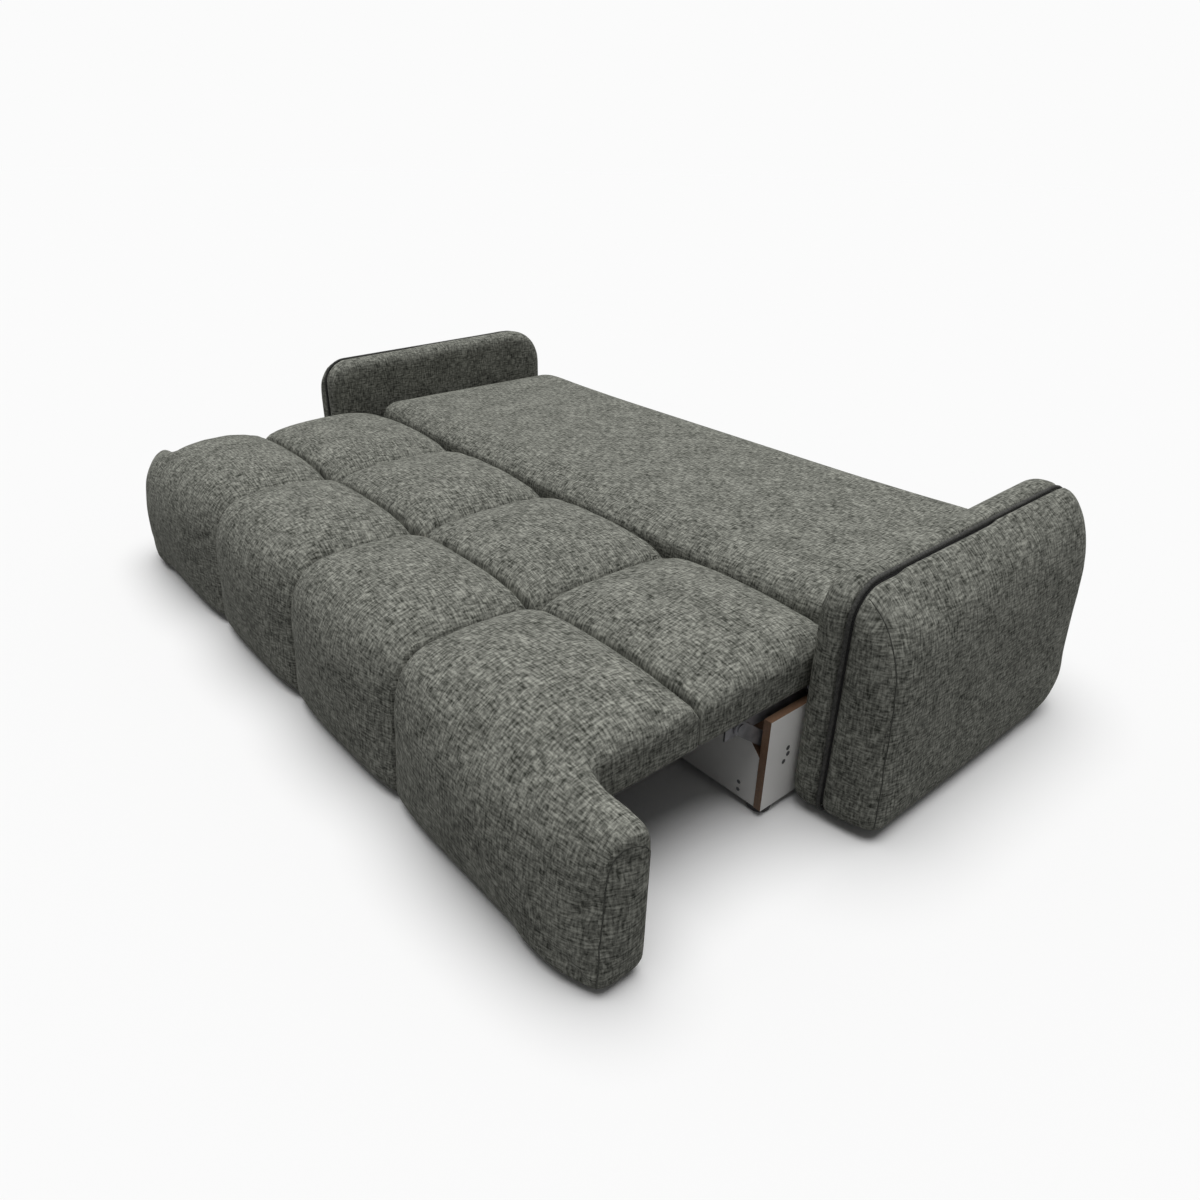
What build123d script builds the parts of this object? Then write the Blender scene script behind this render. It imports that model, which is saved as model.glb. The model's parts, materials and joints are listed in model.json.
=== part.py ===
from build123d import *
import math
import os

# Driving dimensions, in millimetres and degrees
CLEAR_WIDTH = 1960.0
ARM_WIDTH = 210.0
BED_DEPTH = 1522.0
BACK_DEPTH = 721.0
SLAB_THICKNESS = 145.0
SEAM_GAP = 12.0
SIDE_GAP = 12.0
DROP_THICKNESS = 137.0
DROP_BOTTOM = 9.0
EAR_WIDTH = 138.0
PUFF_SEAM_DEPTH = 34.0
PUFF_SEAM_PULL = 26.0
ROW_DEPTH = 398.0
BOX_BOTTOM = 18.0
BOARD = 18.0
ARM_FRONT_SETBACK = 80.0
ARM_REAR_SETBACK = 6.0
ARM_BOTTOM = 9.0
ARM_TOP_FRONT = 532.0
ARM_TOP_REAR = 550.0
BAND_WIDTH = 70.0
PIPING_RADIUS = 4.2
SEAT_TRAVEL = 430.0
CLOSED_GAP = 7.0
LEVER_RISE = 173.0
LEVER_WIDTH = 30.0
PIVOT_HEIGHT = 67.0
PIN_RADIUS = 5.0
RUNNING_FIT = 0.05
LOOSE_FIT = 0.3
HINGE_SETBACK = 80.0
RAIL = 25.0
WALL = 13.0
WEB_THICKNESS = 1.5
FREE = 0.3
SCREW_DEPTH = 40.0
PLATE_SCREW_SETBACK = 66.0
PLATE_SCREW_RISE = 80.0
PLATE_SCREW_SPACING = 42.0
ARM_BOLT_FORE = 110.0
ARM_BOLT_AFT = 80.0
ARM_BOLT_RISE = 94.0
ARM_BOLT_DROP = 42.0
HINGE_BOLT_FORE = 85.0
HINGE_BOLT_AFT = 25.0
HINGE_BOLT_RISE = 30.0
MIDDLE_SCREW_SHARE = 8 / 13

# Derived positions: X across, Y from the front to the rear, Z up from the floor
REACH = SEAT_TRAVEL / 2
LEVER_LENGTH = math.hypot(REACH, LEVER_RISE)
LEVER_LEAN = math.degrees(math.atan2(REACH, LEVER_RISE))
UPPER_PIVOT = PIVOT_HEIGHT + LEVER_RISE
SLAB_BOTTOM = UPPER_PIVOT + 17
BED_TOP = SLAB_BOTTOM + SLAB_THICKNESS
BOX_TOP = SLAB_BOTTOM - 20
HALF_CLEAR = CLEAR_WIDTH / 2
SLAB_HALF = HALF_CLEAR - SIDE_GAP
FRONT = -BED_DEPTH / 2
REAR = BED_DEPTH / 2
BACK_FRONT = REAR - BACK_DEPTH
SEAT_REAR = BACK_FRONT - SEAM_GAP
ROW_Y = SEAT_REAR - ROW_DEPTH
COLUMN = SLAB_HALF * 0.49
DROP_REAR = FRONT + DROP_THICKNESS
EAR_HALF = SLAB_HALF + EAR_WIDTH
BOX_FRONT = DROP_REAR + SEAT_TRAVEL + CLOSED_GAP
BOX_REAR = REAR - 60
PANEL_INNER = HALF_CLEAR - BOARD
FRONT_PANEL_REAR = BOX_FRONT + BOARD + 2
REAR_PANEL_FRONT = BOX_REAR - BOARD
ARM_FRONT = BOX_FRONT + ARM_FRONT_SETBACK
ARM_REAR = REAR - ARM_REAR_SETBACK
BAND_END = HALF_CLEAR + BAND_WIDTH
PILLOW_START = BAND_END + 2 * PIPING_RADIUS + 2 * FREE
ARM_OUTER = HALF_CLEAR + ARM_WIDTH
CORE_INSET = 14.0
CORE_START = HALF_CLEAR + 18
SEAT_FRAME_REAR = SEAT_REAR - WALL
FRONT_PIVOT = BOX_FRONT + 153
REAR_PIVOT = SEAT_FRAME_REAR - 44 + REACH
PLATE_IN = PANEL_INNER - 4
LEVER_OUT = PLATE_IN - 2
LEVER_IN = LEVER_OUT - 5
EAR_OUT = LEVER_IN - 1
EAR_IN = EAR_OUT - 4
RAIL_OUT = SLAB_HALF - WALL
RAIL_IN = RAIL_OUT - RAIL
BOARD_FRONT = FRONT + 83
BOARD_REAR = BOARD_FRONT + BOARD
BOARD_HALF = EAR_HALF - 25
BOARD_TOP = SLAB_BOTTOM + 48
PAD_LOW = DROP_BOTTOM + 0.5
SEAT_RAIL_LOW = SLAB_BOTTOM + WEB_THICKNESS
SEAT_RAIL_TOP = SEAT_RAIL_LOW + 60
SEAT_POCKET_TOP = SEAT_RAIL_TOP + WEB_THICKNESS
BACK_BOTTOM = SLAB_BOTTOM + 2
BACK_TOP = BED_TOP - 4
BACK_RAIL_LOW = BACK_BOTTOM + WEB_THICKNESS
BACK_RAIL_TOP = BACK_RAIL_LOW + 86
BACK_POCKET_TOP = BACK_RAIL_TOP + WEB_THICKNESS
BACK_RAIL_OUT = RAIL_OUT - FREE
BACK_RAIL_IN = BACK_RAIL_OUT - RAIL
HINGE_Y = BACK_FRONT + HINGE_SETBACK
HINGE_Z = (BACK_BOTTOM + BACK_TOP) / 2
HINGE_RADIUS = 6.0
HINGE_PLATE_OUT = RAIL_OUT + 4

os.makedirs("parts", exist_ok=True)


def block(x0, x1, y0, y1, z0, z1):
    """Rectangular piece between two corners."""
    return Pos((x0 + x1) / 2, (y0 + y1) / 2, (z0 + z1) / 2) * Box(x1 - x0, y1 - y0, z1 - z0)


def rod(x0, x1, y, z, radius):
    """Round bar along X."""
    return Pos((x0 + x1) / 2, y, z) * Rot(0, 90, 0) * Cylinder(radius, x1 - x0)


def post(x, y, z0, z1, radius):
    """Round bar along Z."""
    return Pos(x, y, (z0 + z1) / 2) * Cylinder(radius, z1 - z0)


def spike(x, y0, y1, z, radius):
    """Round bar along Y."""
    return Pos(x, (y0 + y1) / 2, z) * Rot(90, 0, 0) * Cylinder(radius, y1 - y0)


def plate(x0, x1, points):
    """Flat plate across X whose outline is a polygon in Y and Z."""
    face = make_face(Polyline([(x0, y, z) for y, z in points], close=True))
    return extrude(face, amount=x1 - x0, dir=(1, 0, 0))


def mirrored(shape):
    """The left-hand twin of a right-hand shape."""
    return mirror(shape, about=Plane.YZ)


def both(shapes):
    """Right-hand shapes followed by their left-hand twins."""
    return list(shapes) + [mirrored(shape) for shape in shapes]


def save(name, *shapes):
    """Write one node from all the solids of its shapes."""
    solids = [solid for shape in shapes for solid in shape.solids()]
    export_step(solids[0] if len(solids) == 1 else Compound(solids), os.path.join("parts", name + ".step"))


def save_pair(name, shape):
    """Write the right-hand node and its left-hand twin."""
    save(name + "_right", shape)
    save(name + "_left", mirrored(shape))


def section(x, start, steps):
    """Closed outline in Y and Z: a step of one point is a line, of two points an arc through the first."""
    edges = []
    at = start
    for step in steps:
        end = step[-1]
        if len(step) == 2:
            edges.append(Edge.make_three_point_arc((x, *at), (x, *step[0]), (x, *end)))
        else:
            edges.append(Edge.make_line((x, *at), (x, *end)))
        at = end
    return Wire(edges)


def puff_levels(puff):
    """Top and seam valley of the upholstery, puff from 0 at a seam to 1 at a crown."""
    return BED_TOP - PUFF_SEAM_DEPTH * (1 - puff), BED_TOP - 52 - 8 * (1 - puff)


def rear_puff_section(x, puff):
    """Outline of a rear-row cell."""
    top, valley = puff_levels(puff)
    steps = [
        [(SEAT_REAR, top - 34)],
        [((SEAT_REAR + ROW_Y) / 2, top), (ROW_Y, valley)],
        [(ROW_Y, SLAB_BOTTOM)],
        [(SEAT_REAR, SLAB_BOTTOM)],
    ]
    return section(x, (SEAT_REAR, SLAB_BOTTOM), steps)


def front_puff_section(x, puff, swell):
    """Outline of a front-row cell, which falls over the front down to the floor line."""
    top, valley = puff_levels(puff)
    front = FRONT + PUFF_SEAM_PULL * (1 - swell)
    shoulder_y = ROW_Y - 0.5 * (ROW_Y - FRONT)
    shoulder_z = top - 3
    turn = shoulder_y - front
    turn_z = max(shoulder_z - turn, PAD_LOW + 120)
    drop = shoulder_z - turn_z
    bend = math.sqrt(0.5)
    low = PAD_LOW + 34
    steps = [
        [(ROW_Y, valley)],
        [(ROW_Y - 0.24 * (ROW_Y - FRONT), top - 3), (shoulder_y, shoulder_z)],
        [(shoulder_y - bend * turn, shoulder_z - (1 - bend) * drop), (front + 1, turn_z)],
        [(front, (turn_z + low) / 2), (front + 5, low)],
        [(front + 12, PAD_LOW + 9), (front + 32, PAD_LOW)],
        [(DROP_REAR, PAD_LOW)],
        [(DROP_REAR, SLAB_BOTTOM)],
        [(ROW_Y, SLAB_BOTTOM)],
    ]
    return section(x, (ROW_Y, SLAB_BOTTOM), steps)


def ear_section(x, pull, inset):
    """Outline of the end of the drop front beyond the seat's side, pulled back and drawn in."""
    front = FRONT + 0.1 * PUFF_SEAM_PULL + pull
    rear = DROP_REAR - inset
    low = PAD_LOW
    top = BED_TOP - 36 - 0.6 * pull - inset
    near = 0.48 * (rear - front)
    far = 0.52 * (rear - front)
    bend = 1 - math.sqrt(0.5)
    steps = [
        [(rear, top - far)],
        [(rear - bend * far, top - bend * far), (rear - far, top)],
        [(front + bend * near, top - bend * near), (front + 1, top - near)],
        [(front, (top - near + low + 34) / 2), (front + 5, low + 34)],
        [(front + 12, low + 9), (front + 32, low)],
        [(rear, low)],
    ]
    return section(x, (rear, low), steps)


def arm_outline(x, inset, sides=(1, 1, 1, 1)):
    """Side outline of an arm, drawn in with a share for the front, the rear, the foot and the top."""
    front = ARM_FRONT + inset * sides[0]
    rear = ARM_REAR - inset * sides[1]
    low = ARM_BOTTOM + inset * sides[2]
    top = inset * sides[3]
    corners = [
        (x, front, low),
        (x, rear, low),
        (x, rear, ARM_TOP_REAR - top),
        (x, front, ARM_TOP_FRONT - top),
    ]
    radii = [max(radius - 0.4 * inset, 30) for radius in (42, 110, 115, 78)]
    return Wire(FilletPolyline(corners, radius=radii, close=True).edges())


def back_section(x, drop, crown):
    """Outline of the folded-down backrest."""
    top = BACK_TOP - drop
    nose = 45.0
    heel = 22.0
    a = nose * (1 - math.sqrt(0.5))
    b = heel * (1 - math.sqrt(0.5))
    steps = [
        [(BACK_FRONT + a, BACK_BOTTOM + a), (BACK_FRONT, BACK_BOTTOM + nose)],
        [(BACK_FRONT, top - nose)],
        [(BACK_FRONT + a, top - a), (BACK_FRONT + nose, top)],
        [((BACK_FRONT + REAR) / 2, top + crown), (REAR - heel, top)],
        [(REAR - b, top - b), (REAR, top - heel)],
        [(REAR, BACK_BOTTOM + heel)],
        [(REAR - b, BACK_BOTTOM + b), (REAR - heel, BACK_BOTTOM)],
        [(BACK_FRONT + nose, BACK_BOTTOM)],
    ]
    return section(x, (BACK_FRONT + nose, BACK_BOTTOM), steps)


def lever(y, upper_fit):
    """Flat bar leaning forward from a lower pivot to its upper pivot, with a bore at each end."""
    bar = SlotCenterToCenter(LEVER_LENGTH, LEVER_WIDTH)
    bar -= Pos(-LEVER_LENGTH / 2, 0) * Circle(PIN_RADIUS + RUNNING_FIT)
    bar -= Pos(LEVER_LENGTH / 2, 0) * Circle(PIN_RADIUS + upper_fit)
    flat = extrude(bar, amount=LEVER_OUT - LEVER_IN)
    middle = (LEVER_IN, y - REACH / 2, (PIVOT_HEIGHT + UPPER_PIVOT) / 2)
    place = Plane(origin=middle, x_dir=(0, 1, 0), z_dir=(1, 0, 0))
    return place * Rot(0, 0, 90 + LEVER_LEAN) * flat


# Box for the bedding: boards, feet, corner blocks and rests
screw_y = BOX_FRONT + PLATE_SCREW_SETBACK
screw_z = PIVOT_HEIGHT + PLATE_SCREW_RISE
side_screws = [(screw_y, screw_z), (screw_y + 2, screw_z - 15), (screw_y - 9, screw_z - 30)]
low_screws = [FRONT_PIVOT + PLATE_SCREW_SPACING]
low_screws += [REAR_PIVOT - PLATE_SCREW_SPACING, REAR_PIVOT + PLATE_SCREW_SPACING - 4]
side_screws += [(y, PIVOT_HEIGHT - 19) for y in low_screws]
arm_bolt_lines = (REAR_PIVOT + ARM_BOLT_FORE, BOX_REAR - ARM_BOLT_AFT)
arm_bolt_rows = (BOX_BOTTOM + ARM_BOLT_RISE, BOX_TOP - ARM_BOLT_DROP)
arm_bolts = [(y, z) for y in arm_bolt_lines for z in arm_bolt_rows]
box_side = block(PANEL_INNER, HALF_CLEAR, BOX_FRONT, BOX_REAR, BOX_BOTTOM, BOX_TOP)
for y, z in side_screws:
    box_side -= rod(PANEL_INNER - 1, HALF_CLEAR + 1, y, z, 3.2)
    box_side -= rod(HALF_CLEAR - 3, HALF_CLEAR + 1, y, z, 5.7)
for y, z in arm_bolts:
    box_side -= rod(PANEL_INNER - 1, HALF_CLEAR + 1, y, z, 4.3)
save_pair("box_side", box_side)

front_screws = [(PANEL_INNER - 45, BOX_BOTTOM + 17), (PANEL_INNER - 45, BOX_BOTTOM + 36)]
notch_width = 87.0
lever_crossing = (FRONT_PIVOT - FRONT_PANEL_REAR) * LEVER_RISE / REACH
notch_low = PIVOT_HEIGHT + lever_crossing - 0.5 * LEVER_WIDTH * LEVER_LENGTH / REACH - 15
panel_outline = [
    (-PANEL_INNER, BOX_BOTTOM),
    (PANEL_INNER, BOX_BOTTOM),
    (PANEL_INNER, notch_low),
    (PANEL_INNER - notch_width, BOX_TOP),
    (notch_width - PANEL_INNER, BOX_TOP),
    (-PANEL_INNER, notch_low),
]
front_face = make_face(Polyline([(x, BOX_FRONT + 2, z) for x, z in panel_outline], close=True))
box_front_panel = extrude(front_face, amount=BOARD, dir=(0, 1, 0))
for x, z in front_screws:
    for side in (-1, 1):
        box_front_panel -= spike(side * x, BOX_FRONT, FRONT_PANEL_REAR + 1, z, 2.7)
        box_front_panel -= spike(side * x, BOX_FRONT, BOX_FRONT + 5, z, 4.7)
save("box_front_panel", box_front_panel)
save("box_rear_panel", block(-PANEL_INNER, PANEL_INNER, REAR_PANEL_FRONT, BOX_REAR, BOX_BOTTOM, BOX_TOP))
floor_top = BOX_BOTTOM + 6
save("box_floor", block(-PANEL_INNER, PANEL_INNER, FRONT_PANEL_REAR, REAR_PANEL_FRONT, BOX_BOTTOM, floor_top))
save("box_partition", block(-8, 8, FRONT_PANEL_REAR, REAR_PANEL_FRONT, floor_top, BOX_TOP))
block_top = PIVOT_HEIGHT + 23
block_rear = FRONT_PANEL_REAR + 56
corner_front = block(PANEL_INNER - 62, PANEL_INNER, FRONT_PANEL_REAR, block_rear, floor_top, block_top)
for x, z in front_screws:
    corner_front -= spike(x, FRONT_PANEL_REAR - 1, FRONT_PANEL_REAR + 40, z, 2.7)
block_front = REAR_PANEL_FRONT - 56
corner_rear = block(PANEL_INNER - 62, PANEL_INNER, block_front, REAR_PANEL_FRONT, floor_top, block_top)
save("corner_blocks", *both([corner_front, corner_rear]))
front_screw_set = []
for x, z in front_screws:
    shank = spike(x, BOX_FRONT + 2, FRONT_PANEL_REAR + 36, z, 2.5)
    front_screw_set.append(shank + spike(x, BOX_FRONT + 2, BOX_FRONT + 5, z, 4.5))
save("front_panel_screws", *both(front_screw_set))
foot_spots = [(x, y) for x in (-HALF_CLEAR + 28, 0, HALF_CLEAR - 28) for y in (BOX_FRONT + 31, BOX_REAR - 31)]
box_feet = [fillet(post(x, y, 0, BOX_BOTTOM, 25).edges().sort_by(Axis.Z)[0], 4) for x, y in foot_spots]
save("box_feet", *box_feet)
rest_spots = (-0.72 * PANEL_INNER, -0.26 * PANEL_INNER, 0.26 * PANEL_INNER, 0.72 * PANEL_INNER)
rest_top = SLAB_BOTTOM - FREE
seat_rests = [block(x - 35, x + 35, BOX_FRONT + 2, FRONT_PANEL_REAR, BOX_TOP, rest_top) for x in rest_spots]
save("seat_rests", *seat_rests)
rail_half = PANEL_INNER - 60
save("back_support_rail", block(-rail_half, rail_half, BOX_REAR - 40, BOX_REAR, BOX_TOP, BACK_BOTTOM - FREE))

# Arms: board core, padded band, piping and outer pillow
core_solid = Solid.extrude(Face(arm_outline(CORE_START, CORE_INSET)), Vector(PILLOW_START - CORE_START, 0, 0))
arm_core = Part(core_solid.wrapped)
band_solid = Solid.extrude(Face(arm_outline(HALF_CLEAR, 0)), Vector(BAND_WIDTH, 0, 0))
arm_band = Part(band_solid.wrapped)
arm_band = fillet(arm_band.faces().sort_by(Axis.X)[0].edges(), 9)
arm_band -= arm_core
glide_x = (CORE_START + BAND_END) / 2
glide_spots = (ARM_FRONT + 75, ARM_REAR - 130)
arm_glides = []
for y in glide_spots:
    arm_band -= post(glide_x, y, ARM_BOTTOM - 1, ARM_BOTTOM + CORE_INSET, 6.3)
    stem = post(glide_x, y, 0, ARM_BOTTOM + CORE_INSET, 6)
    arm_glides.append(stem + post(glide_x, y, 0, ARM_BOTTOM, 20))
arm_bolt_set = []
for y, z in arm_bolts:
    arm_band -= rod(HALF_CLEAR - 1, CORE_START + 1, y, z, 4.3)
    arm_core -= rod(CORE_START - 1, CORE_START + SCREW_DEPTH, y, z, 4.3)
    bolt_head = rod(PANEL_INNER - 5, PANEL_INNER, y, z, 9)
    arm_bolt_set.append(bolt_head + rod(PANEL_INNER, CORE_START + SCREW_DEPTH - 2, y, z, 4))
save("arm_cores", *both([arm_core]))
save_pair("arm_band", arm_band)
save("arm_glides", *both(arm_glides))
save("arm_bolts", *both(arm_bolt_set))
pillow_swell = ARM_OUTER - PILLOW_START
pillow_steps = [(0, 4), (0.12, 1), (0.35, 8), (0.58, 24), (0.78, 50), (0.93, 88), (1, 130)]
pillow_sides = (0.75, 1, 0.45, 1)
pillow_wires = []
for part, inset in pillow_steps:
    pillow_wires.append(arm_outline(PILLOW_START + part * pillow_swell, inset, pillow_sides))
save_pair("arm_pillow", Solid.make_loft(pillow_wires))
piping_path = arm_outline(BAND_END + FREE + PIPING_RADIUS, PIPING_RADIUS + 1)
piping_face = Plane(origin=piping_path @ 0, z_dir=piping_path % 0) * Circle(PIPING_RADIUS)
save_pair("arm_piping", sweep(piping_face, path=piping_path))

# Stepping mechanism: base plates on the box, levers, brackets on the seat
plate_low = PIVOT_HEIGHT - 31
plate_step = PIVOT_HEIGHT + 35
plate_high = PIVOT_HEIGHT + 39
plate_top = PIVOT_HEIGHT + 91
base_outline = [
    (BOX_FRONT + 87, plate_low),
    (REAR_PIVOT + 54, plate_low),
    (REAR_PIVOT + 54, plate_high),
    (FRONT_PIVOT - 14, plate_high),
    (BOX_FRONT + 86, plate_top),
    (BOX_FRONT + 48, plate_top),
    (BOX_FRONT + 48, plate_step),
    (BOX_FRONT + 87, plate_step),
]
base_plate = plate(PLATE_IN, PANEL_INNER, base_outline)
base_screws = []
for y, z in side_screws:
    base_plate -= rod(PLATE_IN - 1, PANEL_INNER + 1, y, z, 3.2)
    base_screws.append(rod(PLATE_IN, HALF_CLEAR, y, z, 3) + rod(HALF_CLEAR - 3, HALF_CLEAR, y, z, 5.5))
lower_pins = []
lower_washers = []
upper_pins = []
for y in (FRONT_PIVOT, REAR_PIVOT):
    base_plate -= rod(PLATE_IN - 1, PANEL_INNER + 1, y, PIVOT_HEIGHT, PIN_RADIUS + RUNNING_FIT)
    head = rod(LEVER_IN - FREE - 3, LEVER_IN - FREE, y, PIVOT_HEIGHT, 9)
    lower_pins.append(rod(LEVER_IN - FREE, PANEL_INNER, y, PIVOT_HEIGHT, PIN_RADIUS) + head)
    ring = rod(LEVER_OUT + FREE, PLATE_IN, y, PIVOT_HEIGHT, 10)
    lower_washers.append(ring - rod(LEVER_OUT, PLATE_IN + 1, y, PIVOT_HEIGHT, PIN_RADIUS + 0.2))
    far = y - REACH
    inner_head = rod(EAR_IN - 3, EAR_IN, far, UPPER_PIVOT, 9)
    outer_head = rod(LEVER_OUT + FREE, LEVER_OUT + 3, far, UPPER_PIVOT, 9)
    upper_pins.append(rod(EAR_IN, LEVER_OUT + FREE, far, UPPER_PIVOT, PIN_RADIUS) + inner_head + outer_head)
save_pair("base_plate", base_plate)
save("base_plate_screws", *both(base_screws))
save("lower_pivot_pins", *both(lower_pins))
save("lower_pivot_washers", *both(lower_washers))
save_pair("front_lever", lever(FRONT_PIVOT, RUNNING_FIT))
save_pair("rear_lever", lever(REAR_PIVOT, LOOSE_FIT))

bracket_front = FRONT_PIVOT - REACH - 36
bracket_rear = REAR_PIVOT - REACH + 24
flange_low = SEAT_RAIL_LOW - 4
seat_bracket = block(RAIL_IN - 12, EAR_OUT, bracket_front, bracket_rear, flange_low, SEAT_RAIL_LOW)
seat_bracket += block(EAR_IN, EAR_OUT, bracket_front, bracket_rear, UPPER_PIVOT - 18, flange_low)
for y in (FRONT_PIVOT - REACH, REAR_PIVOT - REACH):
    seat_bracket -= rod(EAR_IN - 1, EAR_OUT + 1, y, UPPER_PIVOT, PIN_RADIUS + RUNNING_FIT)
hinge_bolt_z = SEAT_RAIL_LOW + HINGE_BOLT_RISE
hinge_bolt_lines = (SEAT_FRAME_REAR - HINGE_BOLT_FORE, SEAT_FRAME_REAR - HINGE_BOLT_AFT)
first_screw = bracket_front + 20
middle_screw = first_screw + MIDDLE_SCREW_SHARE * (hinge_bolt_lines[0] - first_screw)
bracket_screw_lines = (first_screw, middle_screw, bracket_rear - 14)
bracket_screws = []
bracket_screw_x = RAIL_IN + 8
for y in bracket_screw_lines:
    seat_bracket -= post(bracket_screw_x, y, flange_low - 1, SEAT_RAIL_LOW + 1, 3.2)
    screw_head = post(bracket_screw_x, y, flange_low - 2, flange_low, 6)
    bracket_screws.append(screw_head + post(bracket_screw_x, y, flange_low, SEAT_RAIL_LOW + SCREW_DEPTH, 3))
save_pair("seat_bracket", seat_bracket)
save("seat_bracket_screws", *both(bracket_screws))
save("upper_pivot_pins", *both(upper_pins))

# Seat frame with its drop front
side_rail = block(RAIL_IN, RAIL_OUT, BOARD_REAR, SEAT_FRAME_REAR, SEAT_RAIL_LOW, SEAT_RAIL_TOP)
for y in bracket_screw_lines:
    side_rail -= post(bracket_screw_x, y, SEAT_RAIL_LOW - 1, SEAT_RAIL_LOW + SCREW_DEPTH + 1, 3.2)
for y in hinge_bolt_lines:
    side_rail -= rod(RAIL_IN - 1, RAIL_OUT + 1, y, hinge_bolt_z, 4.2)
save("seat_side_rails", *both([side_rail]))
cross_starts = (BOARD_REAR, SEAT_FRAME_REAR - RAIL)
cross_rails = [block(-RAIL_IN, RAIL_IN, y, y + RAIL, SEAT_RAIL_LOW, SEAT_RAIL_TOP) for y in cross_starts]
save("seat_cross_rails", *cross_rails)
bearer_front = BOARD_REAR + RAIL
bearer_rear = SEAT_FRAME_REAR - RAIL
bearer_spots = (-COLUMN, 0, COLUMN)
seat_bearers = []
for x in bearer_spots:
    seat_bearers.append(block(x - 12, x + 12, bearer_front, bearer_rear, SEAT_RAIL_LOW, SEAT_RAIL_TOP))
save("seat_bearers", *seat_bearers)
strap_count = 14
strap_pitch = 2 * RAIL_IN / strap_count
strap_spots = [strap_pitch * (index + 0.5) - RAIL_IN for index in range(strap_count)]
seat_straps = []
for x in strap_spots:
    seat_straps.append(block(x - 30, x + 30, BOARD_REAR, SEAT_FRAME_REAR, SEAT_RAIL_TOP, SEAT_POCKET_TOP))
save("seat_webbing", *seat_straps)
save("drop_board", block(-BOARD_HALF, BOARD_HALF, BOARD_FRONT, BOARD_REAR, DROP_BOTTOM, BOARD_TOP))
glide_line = (BOARD_FRONT + BOARD_REAR) / 2
drop_spots = (-0.9 * BOARD_HALF, -0.32 * BOARD_HALF, 0.32 * BOARD_HALF, 0.9 * BOARD_HALF)
drop_posts = [post(x, glide_line, 0, DROP_BOTTOM, 18) for x in drop_spots]
drop_glides = [fillet(glide.edges().sort_by(Axis.Z)[0], 3) for glide in drop_posts]
save("drop_glides", *drop_glides)
seat_lining = block(-RAIL_OUT, RAIL_OUT, DROP_REAR, SEAT_FRAME_REAR, SLAB_BOTTOM, SEAT_RAIL_LOW)
space_front = bracket_front - 1
space_rear = bracket_rear + 1
bracket_space = block(RAIL_IN - 13, EAR_OUT + 1, space_front, space_rear, SLAB_BOTTOM - 1, SEAT_RAIL_LOW + 1)
save("seat_lining", seat_lining - bracket_space - mirrored(bracket_space))

# Seat upholstery: two rows of four puffed cells
seat_pocket = block(-RAIL_OUT, RAIL_OUT, BOARD_REAR, SEAT_FRAME_REAR, SLAB_BOTTOM - 1, SEAT_POCKET_TOP)
board_slot = block(-BOARD_HALF, BOARD_HALF, BOARD_FRONT, BOARD_REAR, DROP_BOTTOM - 1, BOARD_TOP)
recess_front = SEAT_FRAME_REAR - 112
hinge_recess = block(RAIL_OUT, SLAB_HALF + 1, recess_front, SEAT_REAR + 1, SLAB_BOTTOM - 1, HINGE_Z + 26)
inner_puffs = [(0, 0, 0), (0.25, 0.8, 0.8), (0.5, 1, 1), (0.75, 0.8, 0.8), (1, 0, 0)]
outer_puffs = [(0, 0, 0), (0.25, 0.8, 0.8), (0.5, 1, 1), (0.77, 0.9, 0.96), (1, 0.35, 0.9)]
columns = {"inner": (0, COLUMN, inner_puffs), "outer": (COLUMN, SLAB_HALF, outer_puffs)}
for place, (start, end, puffs) in columns.items():
    stations = [(start + part * (end - start), puff, swell) for part, puff, swell in puffs]
    rear_puff = Part(Solid.make_loft([rear_puff_section(x, puff) for x, puff, swell in stations]).wrapped)
    front_puff = Part(Solid.make_loft([front_puff_section(*station) for station in stations]).wrapped)
    if place == "outer":
        ear_steps = [(-40, 0, 0), (0.2 * EAR_WIDTH, 3, 0), (0.45 * EAR_WIDTH, 10, -4)]
        ear_steps += [(EAR_WIDTH - 34, 25, -10), (EAR_WIDTH - 9, 39, -9), (EAR_WIDTH, 52, 4)]
        ear_wires = [ear_section(SLAB_HALF + out, pull, inset) for out, pull, inset in ear_steps]
        front_puff = front_puff + Part(Solid.make_loft(ear_wires).wrapped)
        rear_puff -= hinge_recess
    save_pair("rear_puff_" + place, rear_puff - seat_pocket)
    front_puff = front_puff - seat_pocket - board_slot
    ear_foam = split(front_puff, bisect_by=Plane.YZ.offset(SLAB_HALF), keep=Keep.TOP)
    cell_foam = split(front_puff, bisect_by=Plane.YZ.offset(SLAB_HALF), keep=Keep.BOTTOM)
    seat_foam = split(cell_foam, bisect_by=Plane.XY.offset(SLAB_BOTTOM), keep=Keep.TOP)
    drop_foam = split(cell_foam, bisect_by=Plane.XY.offset(SLAB_BOTTOM), keep=Keep.BOTTOM)
    foams = [seat_foam, drop_foam] if place == "inner" else [seat_foam, drop_foam, ear_foam]
    save("front_puff_" + place + "_right", *foams)
    save("front_puff_" + place + "_left", *[mirrored(foam) for foam in foams])

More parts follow.
